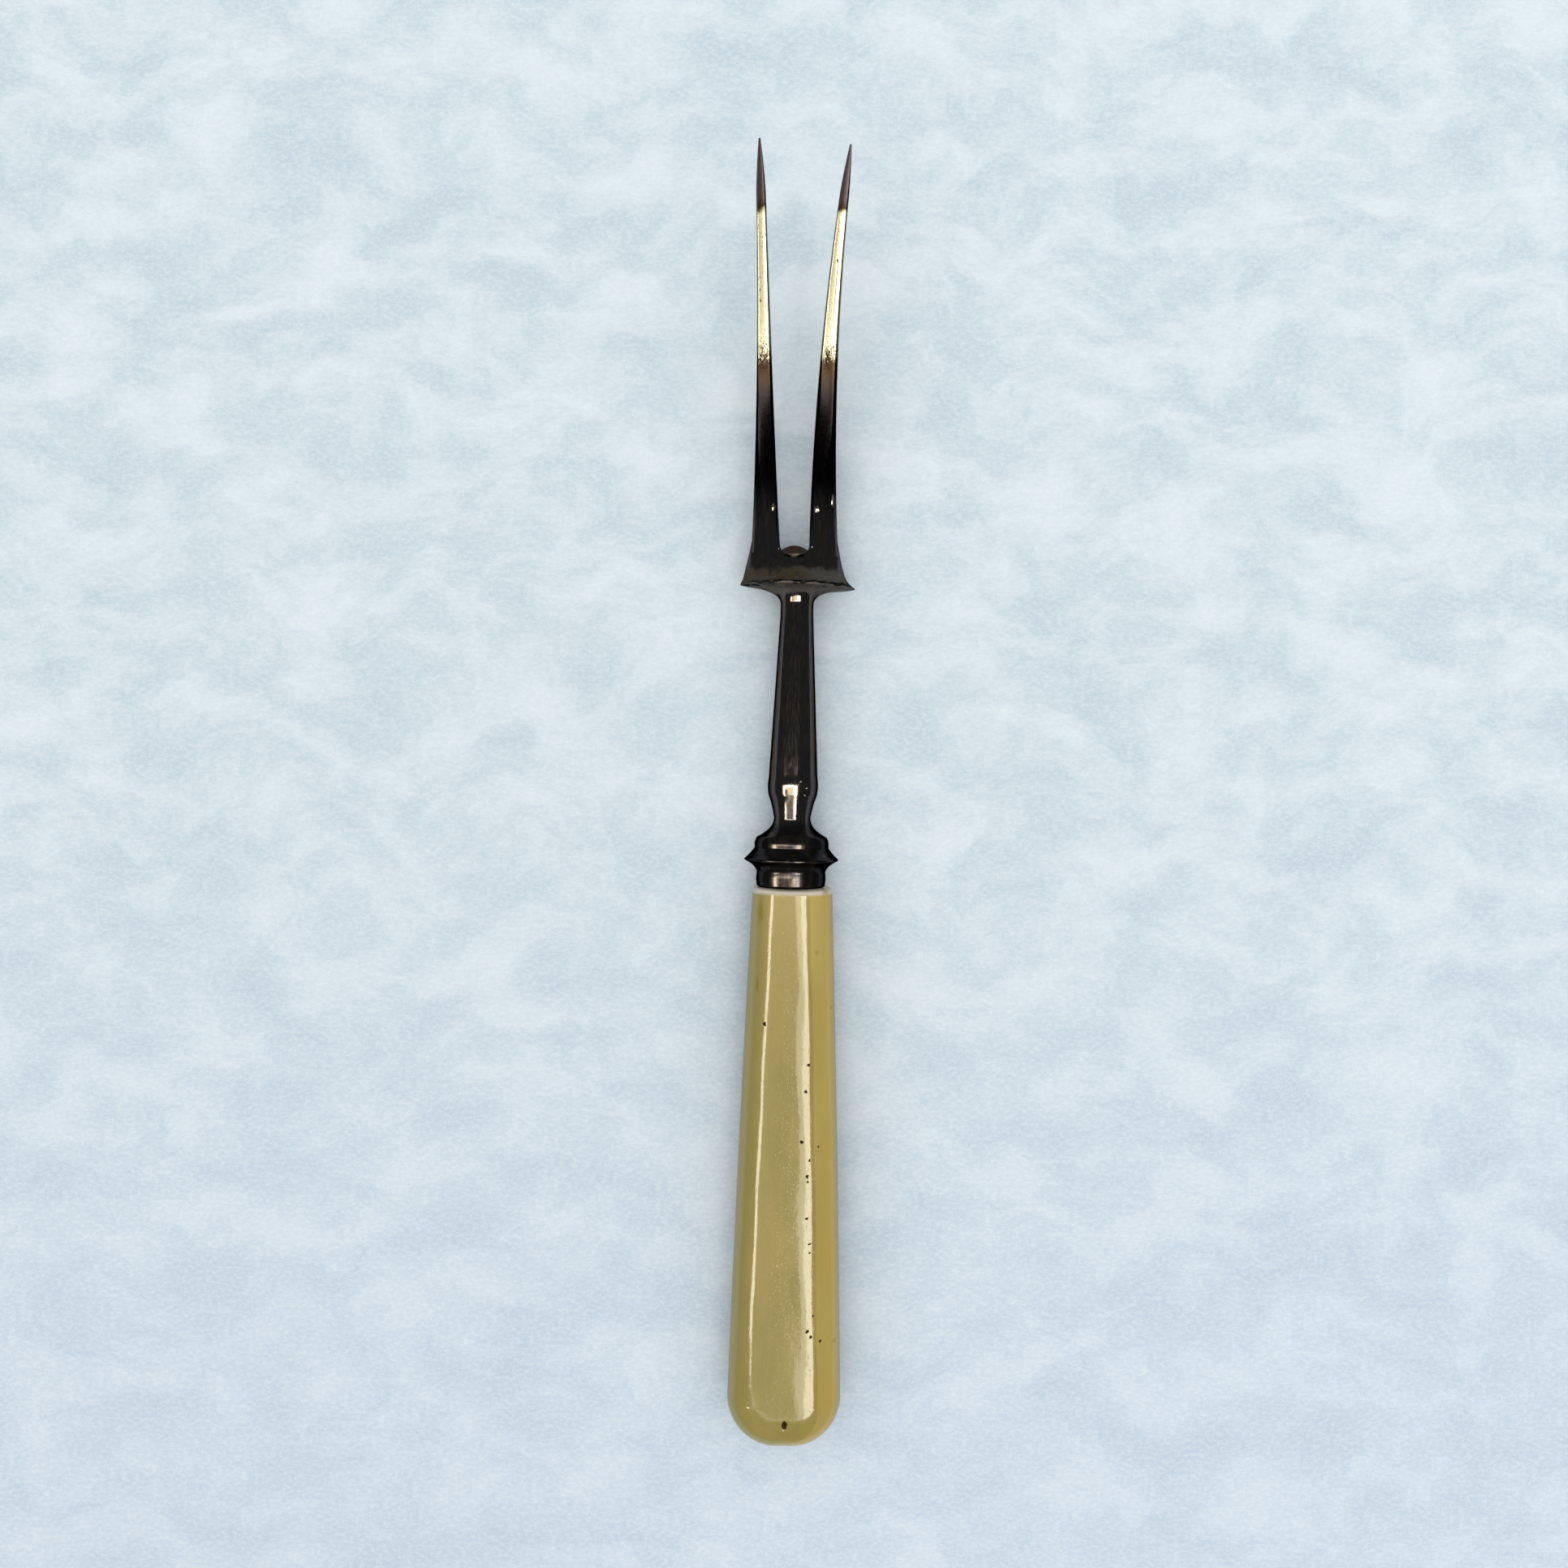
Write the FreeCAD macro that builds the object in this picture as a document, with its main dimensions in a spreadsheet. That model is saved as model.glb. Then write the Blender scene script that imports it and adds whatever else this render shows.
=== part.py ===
# Two-tined carving fork with a moulded oval collar and a bone-coloured slab handle.
#
# The fork is one forging: two curved tines, a flared shoulder with a lens-shaped rim, a round
# shank with a knop and a neck, an oval collar, and a square tang hidden in the handle.
# The handle is one solid with a blind bore, and the tang is set in it with cutler's resin.
#
# Lengths are in millimetres. Every piece is drawn with its axis along Y, measured from the butt of
# the handle towards the tips, and is then laid on its back with the tips curving up.

import FreeCAD, Part
import math
import os

import Sketcher
from FreeCAD import Placement, Rotation, Vector

doc = FreeCAD.newDocument("carving_fork")

# The driving dimensions.

DIMENSIONS = [
    ("handle_length", 117.0),
    ("handle_top_width", 16.75),
    ("handle_butt_width", 24.45),
    ("handle_side_bow", 0.2),
    ("handle_top_depth", 15.0),
    ("handle_butt_depth", 15.8),
    ("handle_corner_radius", 10.2),
    ("handle_edge_radius", 6.2),
    ("handle_top_round", 0.9),
    ("bore_diameter", 8.2),
    ("bore_depth", 78.0),
    ("tang_width", 6.0),
    ("tang_depth", 4.6),
    ("tang_end_width", 3.0),
    ("tang_end_depth", 2.6),
    ("tang_length", 72.0),
    ("collar_depth_share", 0.74),
    ("lower_drum_width", 14.4),
    ("lower_drum_length", 3.2),
    ("drum_round", 0.5),
    ("ridge_width", 19.6),
    ("ridge_land", 0.35),
    ("lower_flare_length", 2.4),
    ("lower_flare_hollow", 1.0),
    ("upper_flare_length", 2.3),
    ("upper_flare_hollow", 0.3),
    ("upper_drum_width", 15.5),
    ("upper_drum_length", 2.2),
    ("upper_drum_swell", 0.4),
    ("cove_top_width", 14.7),
    ("cove_length", 4.1),
    ("neck_diameter", 7.7),
    ("neck_length", 4.8),
    ("neck_hollow", 0.2),
    ("knop_edge_diameter", 10.26),
    ("knop_length", 3.6),
    ("knop_bulge", 0.24),
    ("shank_taper_length", 34.0),
    ("shank_diameter", 6.9),
    ("shank_length", 2.0),
    ("trumpet_length", 3.6),
    ("rim_width", 23.9),
    ("rim_depth", 14.4),
    ("rim_thickness", 0.35),
    ("rim_skew", 1.4),
    ("shoulder_length", 13.6),
    ("shoulder_top_width", 16.6),
    ("shoulder_top_depth", 5.4),
    ("head_offset", -0.75),
    ("slot_width", 6.1),
    ("slot_height", 10.4),
    ("slot_slant", 30.0),
    ("tine_root_height", 2.0),
    ("bend_height", 3.8),
    ("bend_radius", 140.0),
    ("tine_length", 80.9),
    ("longer_tine_extra", 0.8),
    ("left_root_offset", 6.7),
    ("left_root_lean", 0.9),
    ("left_splay_radius", 3900.0),
    ("right_root_offset", 5.35),
    ("right_root_lean", -1.8),
    ("right_splay_radius", 580.0),
    ("tine_root_width", 6.25),
    ("left_middle_width", 3.4),
    ("right_middle_width", 3.95),
    ("tine_point_width", 1.85),
    ("tine_tip_width", 0.36),
    ("tine_root_depth", 6.5),
    ("tine_middle_depth", 4.1),
    ("tine_point_depth", 1.95),
    ("tine_point_length", 10.0),
]

# Places along the axis that several pieces share, worked out from the lengths above.

PLACES = [
    ("drum_top", "handle_length + lower_drum_length"),
    ("ridge_foot", "drum_top + lower_flare_length"),
    ("ridge_top", "ridge_foot + ridge_land"),
    ("upper_drum_foot", "ridge_top + upper_flare_length"),
    ("upper_drum_top", "upper_drum_foot + upper_drum_length"),
    ("neck_place", "upper_drum_top + cove_length"),
    ("knop_foot", "neck_place + neck_length"),
    ("knop_top", "knop_foot + knop_length"),
    ("shank_waist", "knop_top + shank_taper_length"),
    ("shank_top", "shank_waist + shank_length"),
    ("rim_foot", "shank_top + trumpet_length"),
    ("rim_top", "rim_foot + rim_thickness"),
]

sheet = doc.addObject("Spreadsheet::Sheet", "dimensions")
for row, (alias, value) in enumerate(DIMENSIONS, start=1):
    sheet.set(f"A{row}", alias)
    sheet.set(f"B{row}", str(value))
    sheet.setAlias(f"B{row}", alias)
for row, (alias, formula) in enumerate(PLACES, start=len(DIMENSIONS) + 2):
    sheet.set(f"A{row}", alias)
    sheet.set(f"B{row}", "=" + formula)
    sheet.setAlias(f"B{row}", alias)
    doc.recompute()


def size(alias):
    """The value of one cell of the sheet."""
    return float(sheet.get(alias))


def cells(formula):
    """A formula of cell names as an expression that reads the sheet."""
    names = sorted((alias for alias, _ in DIMENSIONS + PLACES), key=len, reverse=True)
    out = []
    for word in formula.split(" "):
        bare = word.strip("()")
        out.append(word.replace(bare, "dimensions." + bare) if bare in names else word)
    return " ".join(out)


def tie(thing, prop, formula):
    """Binds one property of an object to a formula of cells."""
    thing.setExpression(prop, cells(formula))


def origin_plane(body, role):
    """One of the three origin planes of a body."""
    return next(plane for plane in body.Origin.OriginFeatures if plane.Role == role)


def add_sketch(body, name, role):
    """An empty sketch on an origin plane of a body."""
    sketch = body.newObject("Sketcher::SketchObject", name)
    sketch.AttachmentSupport = [(origin_plane(body, role), "")]
    sketch.MapMode = "FlatFace"
    return sketch


def dimension(sketch, kind, where, formula):
    """Adds a dimension to a sketch at its drawn size and binds it to a formula of cells."""
    if kind in ("Radius", "Diameter"):
        drawn = sketch.Geometry[where[0]].Radius * (2 if kind == "Diameter" else 1)
    else:
        span = sketch.getPoint(where[2], where[3]) - sketch.getPoint(where[0], where[1])
        drawn = span.x if kind == "DistanceX" else span.y
    index = sketch.addConstraint(Sketcher.Constraint(kind, *where, drawn))
    tie(sketch, f"Constraints[{index}]", formula)
    return index


def edges_where(feature, test):
    """The names of a feature's edges for which a test of the edge is true."""
    edges = feature.Shape.Edges
    return [f"Edge{number}" for number, edge in enumerate(edges, start=1) if test(edge)]


# Handle: one slab, wider and deeper at the butt, with slightly bowed sides, large corner rounds at
# the butt and one soft round along all its long edges. The tang goes down a blind bore from its top.

START, END, CENTRE = range(1, 4)
ORIGIN_POINT = (-1, 1)
HORIZONTAL_AXIS = -1
VERTICAL_AXIS = -2

handle = doc.addObject("PartDesign::Body", "handle")

outline = add_sketch(handle, "handle_outline", "XY_Plane")
half_top = size("handle_top_width") / 2
half_butt = size("handle_butt_width") / 2
length = size("handle_length")
bulge = (half_top + half_butt) / 2 + size("handle_side_bow")
corners = [
    Vector(-half_butt, 0, 0),
    Vector(half_butt, 0, 0),
    Vector(half_top, length, 0),
    Vector(-half_top, length, 0),
]
butt_line = outline.addGeometry(Part.LineSegment(corners[0], corners[1]))
right_side = outline.addGeometry(Part.Arc(corners[1], Vector(bulge, length / 2, 0), corners[2]))
top_line = outline.addGeometry(Part.LineSegment(corners[2], corners[3]))
left_side = outline.addGeometry(Part.Arc(corners[3], Vector(-bulge, length / 2, 0), corners[0]))
for first, first_end, second, second_end in [
    (butt_line, END, right_side, START),
    (right_side, END, top_line, START),
    (top_line, END, left_side, START),
    (left_side, END, butt_line, START),
]:
    outline.addConstraint(Sketcher.Constraint("Coincident", first, first_end, second, second_end))
outline.addConstraint(Sketcher.Constraint("PointOnObject", butt_line, START, HORIZONTAL_AXIS))
outline.addConstraint(
    Sketcher.Constraint("Symmetric", butt_line, START, butt_line, END, VERTICAL_AXIS))
outline.addConstraint(
    Sketcher.Constraint("Symmetric", top_line, START, top_line, END, VERTICAL_AXIS))
dimension(outline, "DistanceX", (butt_line, START, butt_line, END), "handle_butt_width")
dimension(outline, "DistanceX", (top_line, END, top_line, START), "handle_top_width")
dimension(outline, "DistanceY", (*ORIGIN_POINT, top_line, START), "handle_length")


def bow_radius(reach, rise, bow):
    """The formula of an arc's radius from the reach and rise of its chord and its bow."""
    return f"( ( {reach} ) ^ 2 + ( {rise} ) ^ 2 ) / ( 8 * {bow} ) + {bow} / 2"


SIDE_RISE = "( handle_butt_width - handle_top_width ) / 2"
for side_arc in (right_side, left_side):
    dimension(outline, "Radius", (side_arc,),
              bow_radius("handle_length", SIDE_RISE, "handle_side_bow"))

slab = handle.newObject("PartDesign::Pad", "handle_slab")
slab.Profile = outline
slab.Midplane = True
tie(slab, "Length", "handle_butt_depth")
doc.recompute()

# The front and back of the slab are planed to their taper: one long wedge comes off each.

taper = add_sketch(handle, "handle_taper", "YZ_Plane")
for side in (1, -1):
    butt_edge = Vector(0, side * size("handle_butt_depth") / 2, 0)
    top_edge = Vector(length, side * size("handle_top_depth") / 2, 0)
    waste = Vector(length, butt_edge.y, 0)
    slope = taper.addGeometry(Part.LineSegment(butt_edge, top_edge))
    face = taper.addGeometry(Part.LineSegment(top_edge, waste))
    skin = taper.addGeometry(Part.LineSegment(waste, butt_edge))
    taper.addConstraint(Sketcher.Constraint("Coincident", slope, END, face, START))
    taper.addConstraint(Sketcher.Constraint("Coincident", face, END, skin, START))
    taper.addConstraint(Sketcher.Constraint("Coincident", skin, END, slope, START))
    taper.addConstraint(Sketcher.Constraint("PointOnObject", slope, START, VERTICAL_AXIS))
    taper.addConstraint(Sketcher.Constraint("Horizontal", skin))
    taper.addConstraint(Sketcher.Constraint("Vertical", face))
    dimension(taper, "DistanceX", (*ORIGIN_POINT, face, END), "handle_length")
    dimension(taper, "DistanceY", (*ORIGIN_POINT, slope, START), f"{side} * handle_butt_depth / 2")
    dimension(taper, "DistanceY", (*ORIGIN_POINT, slope, END), f"{side} * handle_top_depth / 2")

planing = handle.newObject("PartDesign::Pocket", "handle_planing")
planing.Profile = taper
planing.Type = "ThroughAll"
planing.Midplane = True
doc.recompute()


def upright_butt_edge(edge):
    """True for the two edges where the sides of the slab meet the butt."""
    upright = abs(edge.tangentAt(edge.FirstParameter).z) > 0.9
    return upright and edge.CenterOfMass.y < size("handle_edge_radius")


corner_rounds = handle.newObject("PartDesign::Fillet", "handle_butt_corners")
corner_rounds.Base = (planing, edges_where(planing, upright_butt_edge))
tie(corner_rounds, "Radius", "handle_corner_radius")
doc.recompute()


def long_edge(edge):
    """True for the edges round the front and the back of the slab, its top apart."""
    flat = abs(edge.tangentAt(edge.FirstParameter).z) < 0.1
    return flat and edge.CenterOfMass.y < size("handle_length") - 0.01


edge_rounds = handle.newObject("PartDesign::Fillet", "handle_edge_rounds")
edge_rounds.Base = (corner_rounds, edges_where(corner_rounds, long_edge))
tie(edge_rounds, "Radius", "handle_edge_radius")
doc.recompute()


def top_edge_of_handle(edge):
    """True for the edges round the top face of the handle."""
    return edge.BoundBox.YMin > size("handle_length") - 0.01


top_rounds = handle.newObject("PartDesign::Fillet", "handle_top_rounds")
top_rounds.Base = (edge_rounds, edges_where(edge_rounds, top_edge_of_handle))
tie(top_rounds, "Radius", "handle_top_round")
doc.recompute()

bore_circle = add_sketch(handle, "bore_circle", "XZ_Plane")
circle = bore_circle.addGeometry(
    Part.Circle(Vector(0, 0, 0), Vector(0, 0, 1), size("bore_diameter") / 2))
bore_circle.addConstraint(Sketcher.Constraint("Coincident", circle, CENTRE, *ORIGIN_POINT))
dimension(bore_circle, "Diameter", (circle,), "bore_diameter")
tie(bore_circle, "AttachmentOffset.Base.z", "-1 * handle_length")

bore = handle.newObject("PartDesign::Pocket", "tang_bore")
bore.Profile = bore_circle
tie(bore, "Length", "bore_depth")
doc.recompute()
uncut = top_rounds.Shape.Volume
if bore.Shape.Volume > uncut - 1:
    bore.Reversed = True
    doc.recompute()
handle.Tip = bore

# Tang: a square spike that tapers down from the collar into the bore.

tang = doc.addObject("Part::Wedge", "tang")
for prop, formula in [
    ("Ymin", "0"),
    ("Ymax", "tang_length"),
    ("Xmin", "-1 * tang_width / 2"),
    ("Xmax", "tang_width / 2"),
    ("Zmin", "-1 * tang_depth / 2"),
    ("Zmax", "tang_depth / 2"),
    ("X2min", "-1 * tang_end_width / 2"),
    ("X2max", "tang_end_width / 2"),
    ("Z2min", "-1 * tang_end_depth / 2"),
    ("Z2max", "tang_end_depth / 2"),
]:
    tie(tang, prop, formula)
tang.Placement = Placement(Vector(0, length, 0), Rotation(Vector(0, 0, 1), 180))
tie(tang, "Placement.Base.y", "handle_length")

# Resin: it fills the bore round the tang and below its end.

resin_plug = doc.addObject("Part::Cylinder", "resin_plug")
tie(resin_plug, "Radius", "bore_diameter / 2")
tie(resin_plug, "Height", "bore_depth")
resin_plug.Placement = Placement(Vector(0, length, 0), Rotation(Vector(1, 0, 0), 90))
tie(resin_plug, "Placement.Base.y", "handle_length")

tang_cement = doc.addObject("Part::Cut", "tang_cement")
tang_cement.Base = resin_plug
tang_cement.Tool = tang

# Stem: the round shank, its knop and its neck, turned from one profile.

stem = doc.addObject("PartDesign::Body", "stem")
profile = add_sketch(stem, "stem_profile", "XY_Plane")


def on_profile(diameter_name, place_name):
    """A point of the turned profile, at half a diameter from the axis."""
    return Vector(size(diameter_name) / 2, size(place_name), 0)


neck_point = on_profile("neck_diameter", "neck_place")
knop_low = on_profile("knop_edge_diameter", "knop_foot")
knop_high = on_profile("knop_edge_diameter", "knop_top")
taper_high = on_profile("shank_diameter", "shank_waist")
shank_end = on_profile("shank_diameter", "shank_top")
axis_low = Vector(0, neck_point.y, 0)
axis_high = Vector(0, shank_end.y, 0)


def bowed_arc(low, high, bow):
    """An arc between two profile points, bowed towards the axis, or away from it if negative."""
    chord = high - low
    inwards = Vector(-chord.y, chord.x, 0).normalize()
    return Part.Arc(low, (low + high) * 0.5 + inwards * bow, high)


taper_rise = knop_high.x - taper_high.x
taper_reach = taper_high.y - knop_high.y
taper_radius = (taper_reach ** 2 + taper_rise ** 2) / (2 * taper_rise)
taper_chord = math.hypot(taper_reach, taper_rise)
taper_bow = taper_radius - math.sqrt(taper_radius ** 2 - taper_chord ** 2 / 4)

chain = [
    profile.addGeometry(Part.LineSegment(axis_low, neck_point)),
    profile.addGeometry(bowed_arc(neck_point, knop_low, size("neck_hollow"))),
    profile.addGeometry(bowed_arc(knop_low, knop_high, -size("knop_bulge"))),
    profile.addGeometry(bowed_arc(knop_high, taper_high, taper_bow)),
    profile.addGeometry(Part.LineSegment(taper_high, shank_end)),
    profile.addGeometry(Part.LineSegment(shank_end, axis_high)),
    profile.addGeometry(Part.LineSegment(axis_high, axis_low)),
]
foot_line, neck_arc, knop_arc, taper_arc, shank_line, end_line, axis_line = chain


def chain_end(geometry, point):
    """Which end of a piece of the profile lies at a point."""
    return START if profile.getPoint(geometry, START).distanceToPoint(point) < 1e-6 else END


links = [neck_point, knop_low, knop_high, taper_high, shank_end, axis_high]
for first, second, point in zip(chain, chain[1:], links):
    profile.addConstraint(Sketcher.Constraint(
        "Coincident", first, chain_end(first, point), second, chain_end(second, point)))
profile.addConstraint(Sketcher.Constraint(
    "Coincident", axis_line, chain_end(axis_line, axis_low), foot_line, chain_end(foot_line, axis_low)))
profile.addConstraint(Sketcher.Constraint("PointOnObject", foot_line, START, VERTICAL_AXIS))
profile.addConstraint(Sketcher.Constraint("PointOnObject", end_line, END, VERTICAL_AXIS))
profile.addConstraint(Sketcher.Constraint("Horizontal", foot_line))
profile.addConstraint(Sketcher.Constraint("Horizontal", end_line))
profile.addConstraint(Sketcher.Constraint("Vertical", shank_line))
for geometry, point, diameter_name, place_name in [
    (foot_line, neck_point, "neck_diameter", "neck_place"),
    (neck_arc, knop_low, "knop_edge_diameter", "knop_foot"),
    (knop_arc, knop_high, "knop_edge_diameter", "knop_top"),
    (shank_line, shank_end, "shank_diameter", "shank_top"),
]:
    end = chain_end(geometry, point)
    dimension(profile, "DistanceX", (*ORIGIN_POINT, geometry, end), diameter_name + " / 2")
    dimension(profile, "DistanceY", (*ORIGIN_POINT, geometry, end), place_name)
dimension(profile, "DistanceY", (*ORIGIN_POINT, shank_line, START), "shank_waist")

NECK_RISE = "( knop_edge_diameter - neck_diameter ) / 2"
TAPER_RISE = "( knop_edge_diameter - shank_diameter ) / 2"
dimension(profile, "Radius", (neck_arc,), bow_radius("neck_length", NECK_RISE, "neck_hollow"))
dimension(profile, "Radius", (knop_arc,), bow_radius("knop_length", "0", "knop_bulge"))
dimension(profile, "Radius", (taper_arc,),
          f"( shank_taper_length ^ 2 + ( {TAPER_RISE} ) ^ 2 ) / ( 2 * ( {TAPER_RISE} ) )")

turning = stem.newObject("PartDesign::Revolution", "stem_turning")
turning.Profile = profile
turning.ReferenceAxis = (profile, ["V_Axis"])
turning.Angle = 360
doc.recompute()

# Collar: an oval moulding. Each member is lofted between ellipses, and each ellipse keeps the
# same share of its width as depth. The cove above it runs out to the round neck.


def oval(name, place, width, depth):
    """An ellipse across the axis, bound to formulas of cells."""
    ellipse = doc.addObject("Part::Ellipse", name)
    tie(ellipse, "MajorRadius", f"( {width} ) / 2")
    tie(ellipse, "MinorRadius", f"( {depth} ) / 2")
    ellipse.Placement = Placement(Vector(0, 0, 0), Rotation(Vector(1, 0, 0), 90))
    tie(ellipse, "Placement.Base.y", place)
    return ellipse


def moulding(name, low, high, steps, law):
    """A loft of ovals between two places. law gives an oval's place, width and depth by share."""
    ovals = []
    for step in range(steps + 1):
        place, width, depth = law(low, high, step / steps)
        ovals.append(oval(f"{name}_{step}", place, width, depth))
    loft = doc.addObject("Part::Loft", name)
    loft.Sections = ovals
    loft.Solid = True
    loft.Ruled = steps == 1
    return loft


def collar_member(name, low, high, steps=1, hollow=0.0):
    """A member of the collar. low and high are (place, width); hollow pulls the side inwards."""

    def law(low, high, share):
        place = f"{low[0]} + ( {high[0]} - {low[0]} ) * {share}"
        wider = hollow * math.sin(math.pi * share)
        width = f"( {low[1]} ) + ( ( {high[1]} ) - ( {low[1]} ) ) * {share} - {wider}"
        return place, width, f"( {width} ) * collar_depth_share"

    return moulding(name, low, high, steps, law)


FLARE_STEPS = 4
lower_bead = collar_member(
    "lower_bead",
    ("handle_length", "lower_drum_width - 2 * drum_round"),
    ("( handle_length + drum_round )", "lower_drum_width"),
    FLARE_STEPS, -0.3 * size("drum_round"))
lower_drum = collar_member(
    "lower_drum",
    ("( handle_length + drum_round )", "lower_drum_width"),
    ("drum_top", "lower_drum_width"))
lower_flare = collar_member(
    "lower_flare", ("drum_top", "lower_drum_width"), ("ridge_foot", "ridge_width"),
    FLARE_STEPS, size("lower_flare_hollow"))
ridge = collar_member("ridge", ("ridge_foot", "ridge_width"), ("ridge_top", "ridge_width"))
upper_flare = collar_member(
    "upper_flare", ("ridge_top", "ridge_width"), ("upper_drum_foot", "upper_drum_width"),
    FLARE_STEPS, size("upper_flare_hollow"))
upper_drum = collar_member(
    "upper_drum",
    ("upper_drum_foot", "upper_drum_width"),
    ("upper_drum_top", "cove_top_width"),
    FLARE_STEPS, -size("upper_drum_swell"))


def cove_law(low, high, share):
    """A hollow sweep from the oval top of the drum to the round neck."""
    place = f"{low[0]} + ( {high[0]} - {low[0]} ) * {share}"
    flare = (1 - share) ** 2.3
    width = f"neck_diameter + ( cove_top_width - neck_diameter ) * {flare}"
    depth = f"neck_diameter + ( cove_top_width * collar_depth_share - neck_diameter ) * {flare}"
    return place, width, depth


COVE_STEPS = 6
cove = moulding("cove", ("upper_drum_top", ""), ("neck_place", ""), COVE_STEPS, cove_law)

# Head: the shoulder opens like a trumpet from the round shank to a lens-shaped rim, narrows again
# above it, and is split by a slanted slot with a round end. The two tines grow out of it.


def lens(place, width, depth, skew, offset=0.0):
    """A wire of two arcs with pointed ends, round when its width and depth are equal."""
    lean = math.tan(math.radians(skew))
    left = Vector(offset - width / 2, place + lean * width / 2, 0)
    right = Vector(offset + width / 2, place - lean * width / 2, 0)
    front = Vector(offset, place, depth / 2)
    back = Vector(offset, place, -depth / 2)
    return Part.Wire([
        Part.Arc(left, front, right).toShape(),
        Part.Arc(right, back, left).toShape(),
    ])


def mix(low, high, share):
    """The value at a share of the way from one value to another."""
    return low + (high - low) * share


def shoulder_solid():
    """Trumpet, rim and shoulder: three lofts of lens wires that share their end faces."""
    trumpet = []
    steps = 6
    full_turn = math.radians(76)
    for step in range(steps + 1):
        turn = full_turn * step / steps
        place = mix(size("shank_top"), size("rim_foot"), math.sin(turn) / math.sin(full_turn))
        out = (1 - math.cos(turn)) / (1 - math.cos(full_turn))
        width = mix(size("shank_diameter"), size("rim_width"), out)
        depth = mix(size("shank_diameter"), size("rim_depth"), out)
        trumpet.append(lens(place, width, depth, size("rim_skew") * out))
    rim = [
        lens(size("rim_foot"), size("rim_width"), size("rim_depth"), size("rim_skew")),
        lens(size("rim_top"), size("rim_width"), size("rim_depth"), size("rim_skew")),
    ]
    shoulder = []
    steps = 8
    for step in range(steps + 1):
        share = step / steps
        place = size("rim_top") + size("shoulder_length") * share ** 1.5
        fall = 1 - (place - size("rim_top")) / size("shoulder_length")
        flare = 0.76 * fall ** 1.3 + 0.24 * fall ** 16
        width = mix(size("shoulder_top_width"), size("rim_width"), flare)
        flare = 0.55 * fall ** 1.1 + 0.45 * fall ** 10
        depth = mix(size("shoulder_top_depth"), size("rim_depth"), flare)
        offset = size("head_offset") * (1 - fall ** 10)
        shoulder.append(lens(place, width, depth, size("rim_skew") * fall, offset))
    solids = [
        Part.makeLoft(trumpet, True, False),
        Part.makeLoft(rim, True, True),
        Part.makeLoft(shoulder, True, False),
    ]
    return solids[1].fuse(solids[2]).fuse(solids[0])


def slot_tool():
    """A U-shaped bar that leans towards the tips as it goes from the front to the back."""
    half = size("slot_width") / 2
    reach = size("rim_depth")
    lean = math.tan(math.radians(size("slot_slant")))
    base = size("rim_top") + size("slot_height") + lean * reach
    top = base + 3 * size("shoulder_length")
    middle = size("head_offset")
    left = Vector(middle - half, base, -reach)
    right = Vector(middle + half, base, -reach)
    left_top = Vector(left.x, top, -reach)
    right_top = Vector(right.x, top, -reach)
    outline = Part.Wire([
        Part.Arc(left, Vector(middle, base - half, -reach), right).toShape(),
        Part.makeLine(right, right_top),
        Part.makeLine(right_top, left_top),
        Part.makeLine(left_top, left),
    ])
    return Part.Face(outline).extrude(Vector(0, -2 * lean * reach, 2 * reach))


def tine_frame(hand, reach):
    """The place and lean of a tine's middle line at a length along it from its bend."""
    bend_place = size("rim_top") + size("bend_height")
    radius = size("bend_radius")
    bent = max(0.0, reach)
    turn = bent / radius
    along = bend_place + min(0.0, reach) + radius * math.sin(turn)
    rise = radius * (1 - math.cos(turn))
    lean = math.tan(math.radians(size(hand + "_root_lean")))
    splay = lean * bent + bent ** 2 / (2 * size(hand + "_splay_radius"))
    side = 1 if hand == "right" else -1
    return Vector(side * (size(hand + "_root_offset") + splay), along, rise), turn


def taper_law(reach, full, root, middle, point, tip):
    """A size that falls through root, middle and point along the tine and ends at its tip."""
    start = full - size("tine_point_length")
    share = max(0.0, reach) / start
    if share >= 1:
        into = (reach - start) / size("tine_point_length")
        return mix(size(point), size(tip), into ** 1.5)
    slope = 4 * size(middle) - 3 * size(root) - size(point)
    curve = 2 * size(root) - 4 * size(middle) + 2 * size(point)
    return size(root) + slope * share + curve * share ** 2


def rounded_polygon(points, radii, place):
    """A closed wire of straight sides and corner arcs, set at a place and lean.

    An arc takes up to its share of the shorter side beside it, so two arcs never meet on a side.
    """
    count = len(points)
    side_share = 0.45
    arcs = []
    for index, corner in enumerate(points):
        before = points[index - 1] - corner
        after = points[(index + 1) % count] - corner
        room = side_share * min(before.Length, after.Length)
        before.normalize()
        after.normalize()
        half_angle = before.getAngle(after) / 2
        setback = min(room, radii[index] / math.tan(half_angle))
        radius = setback * math.tan(half_angle)
        deep = radius / math.sin(half_angle) - radius
        bisector = (before + after).normalize()
        drawn = [corner + before * setback, corner + bisector * deep, corner + after * setback]
        arcs.append([place.multVec(point) for point in drawn])
    edges = []
    for index, (start, middle, end) in enumerate(arcs):
        edges.append(Part.Arc(start, middle, end).toShape())
        edges.append(Part.makeLine(end, arcs[(index + 1) % count][0]))
    return Part.Wire(edges)


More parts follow.
